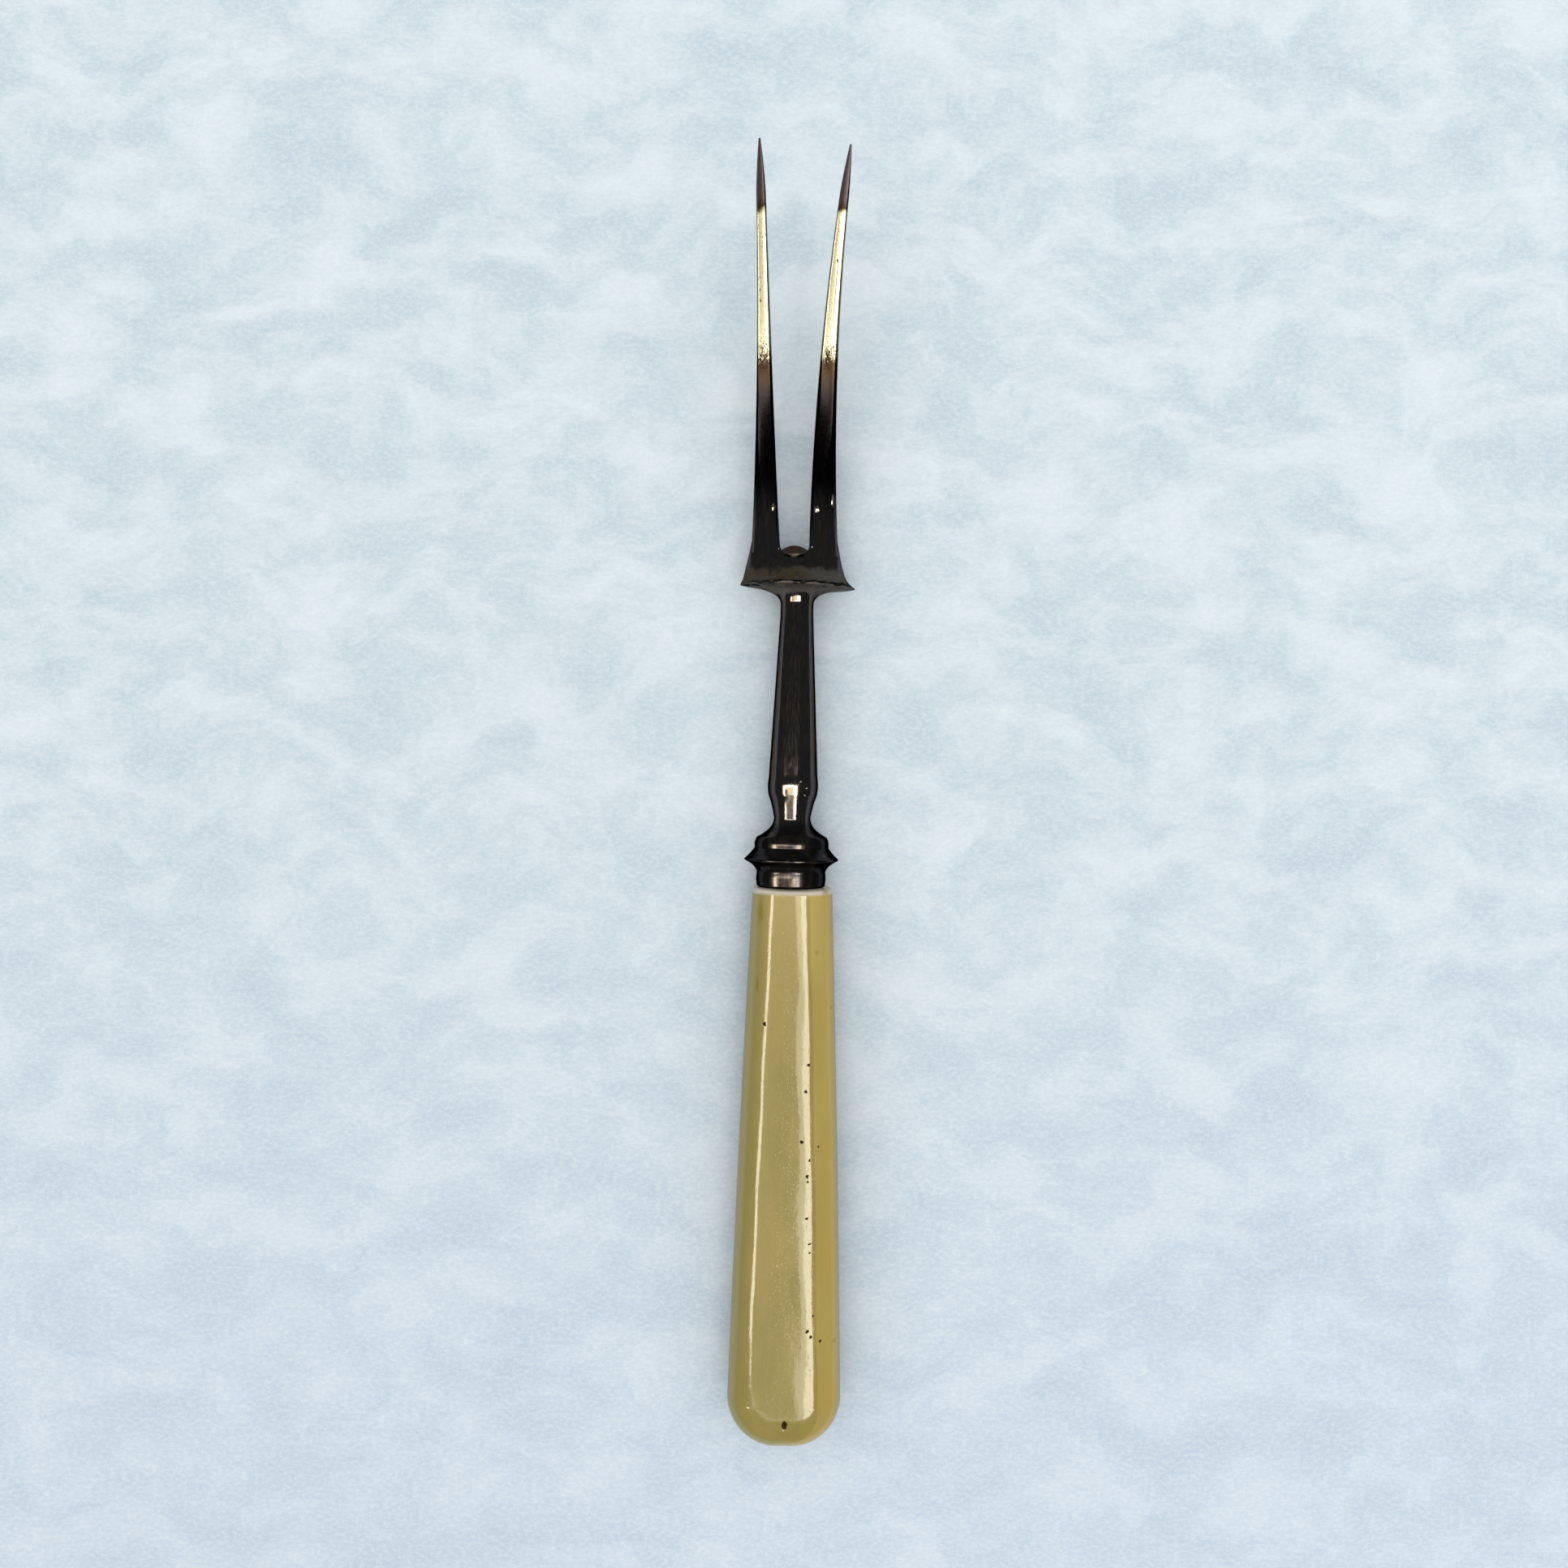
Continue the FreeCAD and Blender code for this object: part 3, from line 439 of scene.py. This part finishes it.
for amount, coat in [(brown_part, "574c45"), (scratched, "6e5f55"), (tine_part, "121011"),
                     (points, "2c2729"), (burnt, "211811"), (shown, "949280")]:
    colour = add(tree, "Mix", TINTED, 2, i0=amount, i6=colour, i7=linear(coat))

# Dirt and wear: a greasy band on the shoulder, olive on the left and grey on the right, a blacker
# collar worn brown in patches, grime under the rim, rust in the crotch. Painted highlights: a pale
# patch on the crotch's lip, and paler bare metal in the dents and on two rubs, where lamps shine.
patchy = add(tree, "MapRange", EASED, i0=blotches, i1=0.3, i2=0.55, i3=0.35, i4=0.9)
band = stretch(tree, along, RIM_Y - 0.1, RIM_Y + 0.8, RIM_Y + 2.0, RIM_Y + 4.2)
grease = add(tree, "Math", TIMES, i0=band, i1=patchy)
rust_bed = spot(tree, rough_place, CROTCH, (4.6, 3.6, 4.6), 0.5)
rust_patches = add(tree, "MapRange", EASED, i0=blotches, i1=0.25, i2=0.5, i3=0.5, i4=1.0)
rust = add(tree, "Math", TIMES, i0=rust_bed, i1=rust_patches)
under_rim = stretch(tree, along, RIM_Y - 2.6, RIM_Y - 1.2, RIM_Y - 0.3, RIM_Y)
grime_patches = add(tree, "MapRange", EASED, i0=blotches, i1=0.25, i2=0.6, i3=0.2, i4=0.8)
grime = add(tree, "Math", TIMES, i0=under_rim, i1=grime_patches)
crust = add(tree, "Math", MOST, i0=grease, i1=rust)
crust = add(tree, "Math", MOST, i0=crust, i1=grime)
collar_part = add(tree, "MapRange", EASED, i0=along, i1=1.5, i2=-2.0)
collar_end = add(tree, "MapRange", EASED, i0=along, i1=0.0, i2=-3.0)
collar_patches = add(tree, "MapRange", EASED, i0=blotches, i1=0.5, i2=0.62, i4=0.8)
worn_collar = add(tree, "Math", TIMES, i0=collar_end, i1=collar_patches)
# A pale patch on the crotch's front lip: a painted highlight.
lip_glint = spot(tree, rough_place, CROTCH_LIP_GLINT, (1.5, 0.5, 6.0), 0.6)
dents = 0.0
for x, y, wide, long in DENTS:
    dent = spot(tree, place, (x, y, 13.0), (wide, long, 9.0), 1.0)
    dents = add(tree, "Math", MOST, i0=dents, i1=dent)
# Paler bare metal in the dents, whose bumps catch the lamp, and on the rubs: partly painted
# highlight.
bare_and_painted_highlight = add(tree, "MapRange", EASED, i0=dents, i1=0.0, i2=0.5)
for x, y, wide, long in HIGHLIGHT_RUBS:
    highlight_rub = spot(tree, rough_place, (x, y, 12.5), (wide, long, 3.5), 0.4)
    bare_and_painted_highlight = add(tree, "Math", MOST, i0=bare_and_painted_highlight, i1=highlight_rub)
rightward = add(tree, "MapRange", EASED, i0=across, i1=-1.0, i2=5.0)
film = add(tree, "Mix", TINTED, 2, i0=rightward, i6=linear("3e351f"), i7=linear("4a4742"))
colour = add(tree, "Mix", TINTED, 2, i0=grease, i6=colour, i7=film)
# The lip's pale patch and the paled dents and rubs are painted highlights.
for amount, coat in [(collar_part, "302f31"), (worn_collar, "4f4842"), (grime, "5c554e"),
                     (rust, "3e1c06"), (lip_glint, "b8ab90"), (bare_and_painted_highlight, "b5b0a2")]:
    colour = add(tree, "Mix", TINTED, 2, i0=amount, i6=colour, i7=linear(coat))

# Finish: sharpest where it was turned, duller on rubbed tops, points, collar and crust.
roughness = add(tree, "MapRange", EASED, i0=scratches, i1=0.25, i2=0.75, i3=0.05, i4=0.14)
for more in [add(tree, "MapRange", EASED, i0=rubbed, i4=0.1),
             add(tree, "Math", TIMES, i0=points, i1=0.12),
             add(tree, "Math", TIMES, i0=collar_part, i1=0.08),
             add(tree, "MapRange", EASED, i0=crust, i4=0.35)]:
    roughness = add(tree, "Math", PLUS, i0=roughness, i1=more)
pitted = add(tree, "Math", TIMES, i0=specks, i1=crust)
height = add(tree, "Math", PLUS, i0=scratches, i1=pitted)
relief = add(tree, "Bump", Strength=0.25, Distance=0.02 * MM, Height=height)
hammered = add(tree, "Bump", Strength=1.0, Distance=0.22 * MM, Height=dents, Normal=relief)
for name, value in {
        "Base Color": colour, "Roughness": roughness, "Normal": hammered,
        "Metallic": add(tree, "MapRange", EASED, i0=crust, i3=1.0, i4=0.45),
        "Specular IOR Level": add(tree, "MapRange", EASED, i0=crust, i3=0.5, i4=0.1)}.items():
    tree.links.new(value, shader.inputs[name])
shader.inputs["Specular Tint"].default_value = linear("68686a")
forging.data.materials.clear()
forging.data.materials.append(steel)

# Resin: the cutler's cement of resin and brick dust, poured hot into the bore round the tang. It
# is hidden when the fork is whole. Its grit is drawn 0.4 mm across, and it sets dull.
cement, tree, shader, place = new_material("cutlers_resin")
grit = pattern(tree, place, (0.4, 0.4, 0.4))
colour = add(tree, "Mix", TINTED, 2, i0=grit, i6=linear("3a2414"), i7=linear("573620"))
tree.links.new(colour, shader.inputs["Base Color"])
shader.inputs["Roughness"].default_value = 0.7
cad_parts["tang_cement"].data.materials.clear()
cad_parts["tang_cement"].data.materials.append(cement)

# Handle: one slab of bone, sawn, filed and polished. Its face is rubbed into a faint crown, its
# long edges and its butt are rounded off. It is pushed on the tang and set in resin.
EDGE_ROUND = 6.2
TOP_ROUND = 0.9
CORNER_ROUND = 10.2
HALF_TOP, HALF_BUTT = 8.375, 12.225
SIDE_BOW = 0.2
BUTT_TRIM = 0.01
CROWN = 0.0034
EASE_START = 8.4
EASE = 0.016
WAVER = 0.028
CHIP_X, CHIP_Y, CHIP_HALF_X, CHIP_HALF_Y, CHIP_DEPTH = 0.2, 6.9, 0.6, 1.0, 0.4


def half_outline():
    """Half the plan outline from the top down the side and round the butt, and its outward way.

    The side is a straight line that bows out by half a sine wave, and the corner is a true arc.
    """
    slope = math.atan((HALF_BUTT - HALF_TOP) / HANDLE_LENGTH)
    line_x = HALF_BUTT - (HALF_BUTT - HALF_TOP) * CORNER_ROUND / HANDLE_LENGTH
    corner = np.array([line_x - CORNER_ROUND / math.cos(slope), CORNER_ROUND])
    turn = np.linspace(slope, -np.pi / 2, 64)
    arc_way = np.stack([np.cos(turn), np.sin(turn)], -1)
    arc = corner + CORNER_ROUND * arc_way
    share = np.linspace(0, 1, 150, endpoint=False)[:, None]
    top = np.array([HALF_TOP, HANDLE_LENGTH - TOP_ROUND])
    side_way = np.array([math.cos(slope), math.sin(slope)])
    side = top + (arc[0] - top) * share + SIDE_BOW * np.sin(np.pi * share) * side_way
    butt = np.stack([np.linspace(arc[-1, 0], 0, 9)[1:], np.zeros(8)], -1)
    way = np.concatenate([np.broadcast_to(side_way, side.shape), arc_way,
                          np.tile([0.0, -1.0], (8, 1))])
    return np.concatenate([side, arc, butt]), way


def face_drop(x, y, z):
    """How far the face lies below the flat slab: crown, eased edge, filing waver and the chip.

    The crown falls as x^2. The ease starts 8.4 mm from the outline and falls as the square of the
    way past that, less the same past the edge round. Crown and ease die away by the square of the
    height, so the back stays flat. The chip is a shallow bowl.
    """
    lifted = np.clip(z / (DEPTH_AT_BUTT / 2), 0, 1)
    corner_x = HALF_BUTT - CORNER_ROUND
    past_x = np.clip(np.abs(x) - corner_x, 0, None)
    past_y = np.clip(CORNER_ROUND - y, 0, None)
    half = HALF_BUTT - (HALF_BUTT - HALF_TOP) * y / HANDLE_LENGTH
    to_edge = np.where(y < CORNER_ROUND, CORNER_ROUND - np.hypot(past_x, past_y), half - np.abs(x))
    eased = (np.clip(EASE_START - to_edge, 0, None) ** 2
             - np.clip(EDGE_ROUND - to_edge, 0, None) ** 2)
    wave = 1 + np.sin(y / 2.9 + x / 1.9) * np.sin(y / 7.0 - x / 2.7 + 1.0)
    away = np.hypot((x - CHIP_X) / CHIP_HALF_X, (y - CHIP_Y) / CHIP_HALF_Y)
    bowl = CHIP_DEPTH * np.clip(1 - away ** 2, 0, 1) ** 0.7 * (z > 0)
    return (CROWN * x ** 2 + EASE * eased) * lifted ** 2 + WAVER * wave * lifted + bowl


def handle_rings():
    """Rings round the slab from its top to its butt line.

    Each ring runs across the face, over the edge round, down the wall and back under. The edge
    round steps in from the outline by its radius times 1 - cos, and rises by its sine. The top's
    small round shrinks the first ring in the same way.
    """
    outline, way = half_outline()
    over = np.radians(np.linspace(90, 0, 22))
    under = np.radians(np.linspace(0, -90, 14))
    inset = EDGE_ROUND * (1 - np.cos(np.concatenate([over, under])))
    lift = EDGE_ROUND * np.concatenate([np.sin(over) - 1, np.sin(under) + 1])
    edge = outline[:, None, :] - inset[None, :, None] * way[:, None, :]
    deeper = (DEPTH_AT_TOP - DEPTH_AT_BUTT) * edge[..., 1] / HANDLE_LENGTH
    half_depth = (DEPTH_AT_BUTT + deeper) / 2
    edge_z = np.repeat([1, -1], [len(over), len(under)]) * half_depth + lift
    share = np.linspace(0, 1, 30, endpoint=False)[None, :]
    under_share = np.linspace(1, 0, 9)[None, 1:]
    x = np.concatenate([edge[:, :1, 0] * share, edge[..., 0], edge[:, -1:, 0] * under_share], 1)
    y = np.concatenate([edge[:, :1, 1] + 0 * share, edge[..., 1],
                        edge[:, -1:, 1] + 0 * under_share], 1)
    z = np.concatenate([half_depth[:, :1] + 0 * share, edge_z,
                        0 * under_share - half_depth[:, -1:]], 1)
    x = np.concatenate([x, -x[:, -2:0:-1]], 1)
    y, z = (np.concatenate([part, part[:, -2:0:-1]], 1) for part in (y, z))
    y = np.maximum(y, BUTT_TRIM)
    z = z - face_drop(x, y, z)
    top_turn = np.radians(np.linspace(90, 0, 9)[:-1])[:, None]
    inward = TOP_ROUND * (1 - np.cos(top_turn))
    top_x = x[0] * (1 - inward / np.abs(x[0]).max())
    top_z = z[0] * (1 - inward / np.abs(z[0]).max())
    top_y = y[0] + TOP_ROUND * np.sin(top_turn)
    return np.concatenate([np.stack([top_x, top_y, top_z], -1), np.stack([x, y, z], -1)])


slab = shell("bone_handle", handle_rings(), ends_in_line=True)
slab.data.shade_smooth()
slab.data.set_sharp_from_angle(angle=math.radians(50))
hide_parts("handle")
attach(slab, "root")

# Old bone, polished by hand and by use: yellow olive, a little deeper on the right, with fine
# lengthwise grain, black pits and olive stains. The polish is glassy but ripples, which bends the
# long highlights. The grain is drawn 0.3 mm wide, coarser than the real one. Painted shade darkens
# the left flank and the side walls, and painted light pales the right flank and the top end.
FACE_Z = 14.8
CHIP_SPOT = (0.2, -123.6, 14.4)
# Pits: across, along and half width.
PITS = [(2.8, -65.0, 0.5), (4.4, -68.8, 0.3), (4.0, -72.1, 0.42), (4.2, -73.2, 0.3),
        (3.9, -49.2, 0.35), (3.4, -54.7, 0.3), (6.2, -66.1, 0.3), (4.0, -80.8, 0.35),
        (4.7, -86.1, 0.3), (4.8, -87.9, 0.3), (4.5, -104.1, 0.4), (5.3, -105.3, 0.4),
        (7.2, -106.3, 0.4), (5.7, -100.9, 0.3), (-5.4, -41.0, 0.5)]
# Stains: across, along, half width and half length.
STAINS = [(-6.7, -18.1, 1.2, 3.6), (-6.9, -33.2, 0.6, 2.4), (7.0, -13.9, 1.5, 1.2),
          (5.2, -26.2, 0.7, 0.9), (8.4, -37.9, 0.7, 0.7), (-3.9, -41.8, 1.6, 0.8),
          (0.4, -111.1, 0.8, 3.4), (10.2, -107.1, 0.6, 0.8)]

bone, tree, shader, place = new_material("polished_yellowed_bone")
spoiled = ragged(tree, place, 0.7, 0.4)
mottle = pattern(tree, place, (7.0, 16.0, 7.0), 4.0, 0.55)
grain = pattern(tree, place, (0.3, 6.0, 0.3))
pores = pattern(tree, place, (0.22, 0.5, 0.22), 2.0)
ripple = pattern(tree, place, (1.4, 3.0, 1.4), 2.0)
across = add(tree, "SeparateXYZ", out="X", Vector=place)
along = add(tree, "SeparateXYZ", out="Y", Vector=place)
outward = add(tree, "NewGeometry", out="Normal")
upward = add(tree, "SeparateXYZ", out="Z", Vector=outward)

mottled = add(tree, "MapRange", EASED, i0=mottle, i1=0.3, i2=0.7)
near_top = add(tree, "MapRange", EASED, i0=along, i1=-40.0, i2=-14.0)
grained = add(tree, "MapRange", EASED, i0=grain, i1=0.2, i2=0.8, i4=0.35)
rightward = add(tree, "MapRange", EASED, i0=across, i1=-4.0, i2=4.0)
# The flanks, where the face turns away, are painted darker on the left and paler on the right:
# painted shade and painted light.
flank_shading = add(tree, "MapRange", EASED, i0=upward, i1=0.98, i2=0.7)
right_side = add(tree, "MapRange", EASED, i0=across, i1=2.0, i2=6.0)
orange_patches = add(tree, "MapRange", EASED, i0=mottle, i1=0.45, i2=0.62, i4=0.35)
orange = add(tree, "Math", TIMES, i0=right_side, i1=orange_patches)
# The side walls, where the surface turns level, are painted darker: painted shade.
wall_shade = add(tree, "MapRange", EASED, i0=upward, i1=0.55, i2=0.15, i4=0.6)
# The top end of the handle is painted pale grey: painted light.
top_end_light = add(tree, "MapRange", EASED, i0=along, i1=-14.9, i2=-14.1, i4=0.9)
flank_shading_colour = add(tree, "Mix", TINTED, 2, i0=rightward, i6=linear("8f854e"), i7=linear("a7944f"))
colour = add(tree, "Mix", TINTED, 2, i0=mottled, i6=linear("9d8c4d"), i7=linear("8c8042"))
for amount, coat in [(near_top, linear("ac995b")), (grained, linear("a39458")), (flank_shading, flank_shading_colour),
                     (orange, linear("ac8d4a")), (wall_shade, linear("73603a")),
                     (top_end_light, linear("c4bdae"))]:
    colour = add(tree, "Mix", TINTED, 2, i0=amount, i6=colour, i7=coat)
for x, y, wide, long in STAINS:
    stain = spot(tree, spoiled, (x, y, 13.0), (wide, long, 3.0), 0.9, 0.7)
    colour = add(tree, "Mix", TINTED, 2, i0=stain, i6=colour, i7=linear("80741a"))
holes = spot(tree, spoiled, CHIP_SPOT, (0.75, 1.15, 2.5), 0.3)
for x, y, half in PITS:
    pit = spot(tree, spoiled, (x, y, FACE_Z), (half, half, 2.0), 0.4)
    holes = add(tree, "Math", MOST, i0=holes, i1=pit)
colour = add(tree, "Mix", TINTED, 2, i0=holes, i6=colour, i7=linear("2c200e"))

gloss = add(tree, "MapRange", EASED, i0=grain, i1=0.2, i2=0.8, i3=0.06, i4=0.11)
dull_holes = add(tree, "Math", TIMES, i0=holes, i1=0.5)
roughness = add(tree, "Math", PLUS, i0=gloss, i1=dull_holes)
dirty_walls = add(tree, "MapRange", EASED, i0=upward, i1=0.5, i2=0.1, i3=0.5, i4=0.08)
clean = add(tree, "MapRange", EASED, i0=holes, i3=1.0, i4=0.1)
shine = add(tree, "Math", TIMES, i0=dirty_walls, i1=clean)
rippled = add(tree, "MapRange", EASED, i0=ripple, i4=0.16)
porous = add(tree, "MapRange", EASED, i0=pores, i1=0.25, i2=0.4, i4=0.12)
height = add(tree, "Math", PLUS, i0=rippled, i1=porous)
height = add(tree, "Math", LESS, i0=height, i1=holes)
relief = add(tree, "Bump", Strength=0.4, Distance=0.15 * MM, Height=height)
for name, value in {"Base Color": colour, "Roughness": roughness, "Normal": relief,
                    "Specular IOR Level": shine}.items():
    tree.links.new(value, shader.inputs[name])
shader.inputs["IOR"].default_value = 1.42
slab.data.materials.clear()
slab.data.materials.append(bone)

# Table: a sheet of pale paper with long fibres, laid flat under the fork. It is dull, clouded where
# the pulp is thick, and bluer towards the handle. Its fibres are drawn about 1 mm wide.
TABLE_REACH = 1.5
paper, tree, shader, place = new_material("pale_fibrous_paper")
drift = ragged(tree, place, 30.0, 14.0)
clouds = pattern(tree, drift, (24.0, 14.0, 18.0), 9.0, 0.66)
fibres = pattern(tree, place, (1.3, 0.8, 1.0), 6.0, 0.75)
along = add(tree, "SeparateXYZ", out="Y", Vector=place)
cloudy = add(tree, "MapRange", EASED, i0=clouds, i1=0.32, i2=0.68)
bluer = add(tree, "MapRange", EASED, i0=along, i1=60.0, i2=-140.0, i4=0.35)
fibrous = add(tree, "MapRange", EASED, i0=fibres, i1=0.42, i2=0.62, i4=0.35)
colour = add(tree, "Mix", TINTED, 2, i0=cloudy, i6=linear("c0d3dd"), i7=linear("dde9ee"))
for amount, coat in [(bluer, "b6c9e4"), (fibrous, "ecf3f6")]:
    colour = add(tree, "Mix", TINTED, 2, i0=amount, i6=colour, i7=linear(coat))
tree.links.new(colour, shader.inputs["Base Color"])
shader.inputs["Roughness"].default_value = 0.8
mesh = bpy.data.meshes.new("table_top")
corners = [(x * TABLE_REACH, y * TABLE_REACH, 0) for x, y in ((-1, -1), (1, -1), (1, 1), (-1, 1))]
mesh.from_pydata(corners, [], [(0, 1, 2, 3)])
mesh.materials.append(paper)
table_top = bpy.data.objects.new("table_top", mesh)
bpy.context.scene.collection.objects.link(table_top)

# Camera: held almost level, about a quarter of a metre over the middle of the fork, so near that
# the raised tines spread apart in the picture.
CAMERA_HEIGHT = 265.465 * MM
CAMERA_FOOT_X, CAMERA_FOOT_Y = -2.2328 * MM, 7.9882 * MM
CAMERA_TILT, CAMERA_ROLL = math.radians(-1.3834), math.radians(0.9814)
FORK_LEVEL = 6 * MM
camera_data = bpy.data.cameras.new("camera")
camera_data.sensor_width = 36.0
camera_data.lens = 28.28
camera_data.clip_start = 0.01
camera = bpy.data.objects.new("camera", camera_data)
turn = Matrix.Rotation(CAMERA_ROLL, 4, "Z") @ Matrix.Rotation(CAMERA_TILT, 4, "X")
back = math.tan(CAMERA_TILT) * (CAMERA_HEIGHT - FORK_LEVEL)
stand = Matrix.Translation((CAMERA_FOOT_X, CAMERA_FOOT_Y - back, CAMERA_HEIGHT))
camera.matrix_world = stand @ turn
bpy.context.scene.collection.objects.link(camera)
bpy.context.scene.camera = camera
bpy.context.scene.view_settings.view_transform = "Standard"

# Lamps: one long lamp overhead with a dim glass and bright edges, which shows as a pair of lines in
# every polished round, and the soft light of the room, from a window above and from all round.
LAMP_HEIGHT = 0.48
ROOM_HEIGHT = 0.9
LAMP_SOUTH, LAMP_NORTH = -0.4, 0.025
WARM = "fff6e4"
ROOM_WHITE = "fbf9f8"


def lamp_panel(name, across, along, radiance, colour, height=LAMP_HEIGHT, shows=True):
    """A level panel overhead, across between two angles from upright in degrees, along in metres.

    It either shows in polish alone, or lights what lies under it and doesn't show. Its power is
    its radiance times pi times its area.
    """
    x0, x1 = (height * math.tan(math.radians(angle)) for angle in across)
    y0, y1 = along
    data = bpy.data.lights.new(name, "AREA")
    data.shape = "RECTANGLE"
    data.size, data.size_y = x1 - x0, y1 - y0
    data.energy = radiance * math.pi * data.size * data.size_y
    data.color = linear(colour)[:3]
    light = bpy.data.objects.new(name, data)
    light.location = ((x0 + x1) / 2, (y0 + y1) / 2, height)
    light.visible_diffuse = not shows
    light.visible_glossy = shows
    bpy.context.scene.collection.objects.link(light)


lamp_panel("lamp_left_edge", (-45.5, -37), (LAMP_SOUTH, LAMP_NORTH), 18, WARM)
lamp_panel("lamp_right_glow", (4, 9), (LAMP_SOUTH, LAMP_NORTH), 8, WARM)
lamp_panel("lamp_right_edge", (9, 21), (LAMP_SOUTH, LAMP_NORTH), 17, WARM)
lamp_panel("lamp_far_edge", (-37.5, 4), (0.0, LAMP_NORTH), 16, WARM)
lamp_panel("lamp_near_edge", (-37.5, 4), (LAMP_SOUTH, -0.38), 5, WARM)
lamp_panel("lamp_glass", (-37.5, 4), (-0.38, 0.0), 1.6, "fff0d4")
lamp_panel("room_sky", (-62, 62), (-1.7, 1.7), 0.84, ROOM_WHITE, ROOM_HEIGHT, shows=False)
lamp_panel("room_window", (-26, 26), (-0.44, 0.44), 3.0, ROOM_WHITE, ROOM_HEIGHT, shows=False)
world = bpy.data.worlds.new("room")
world.use_nodes = True
surround = world.node_tree.nodes["Background"]
surround.inputs["Color"].default_value = linear("c9ced2")
surround.inputs["Strength"].default_value = 0.22
bpy.context.scene.world = world
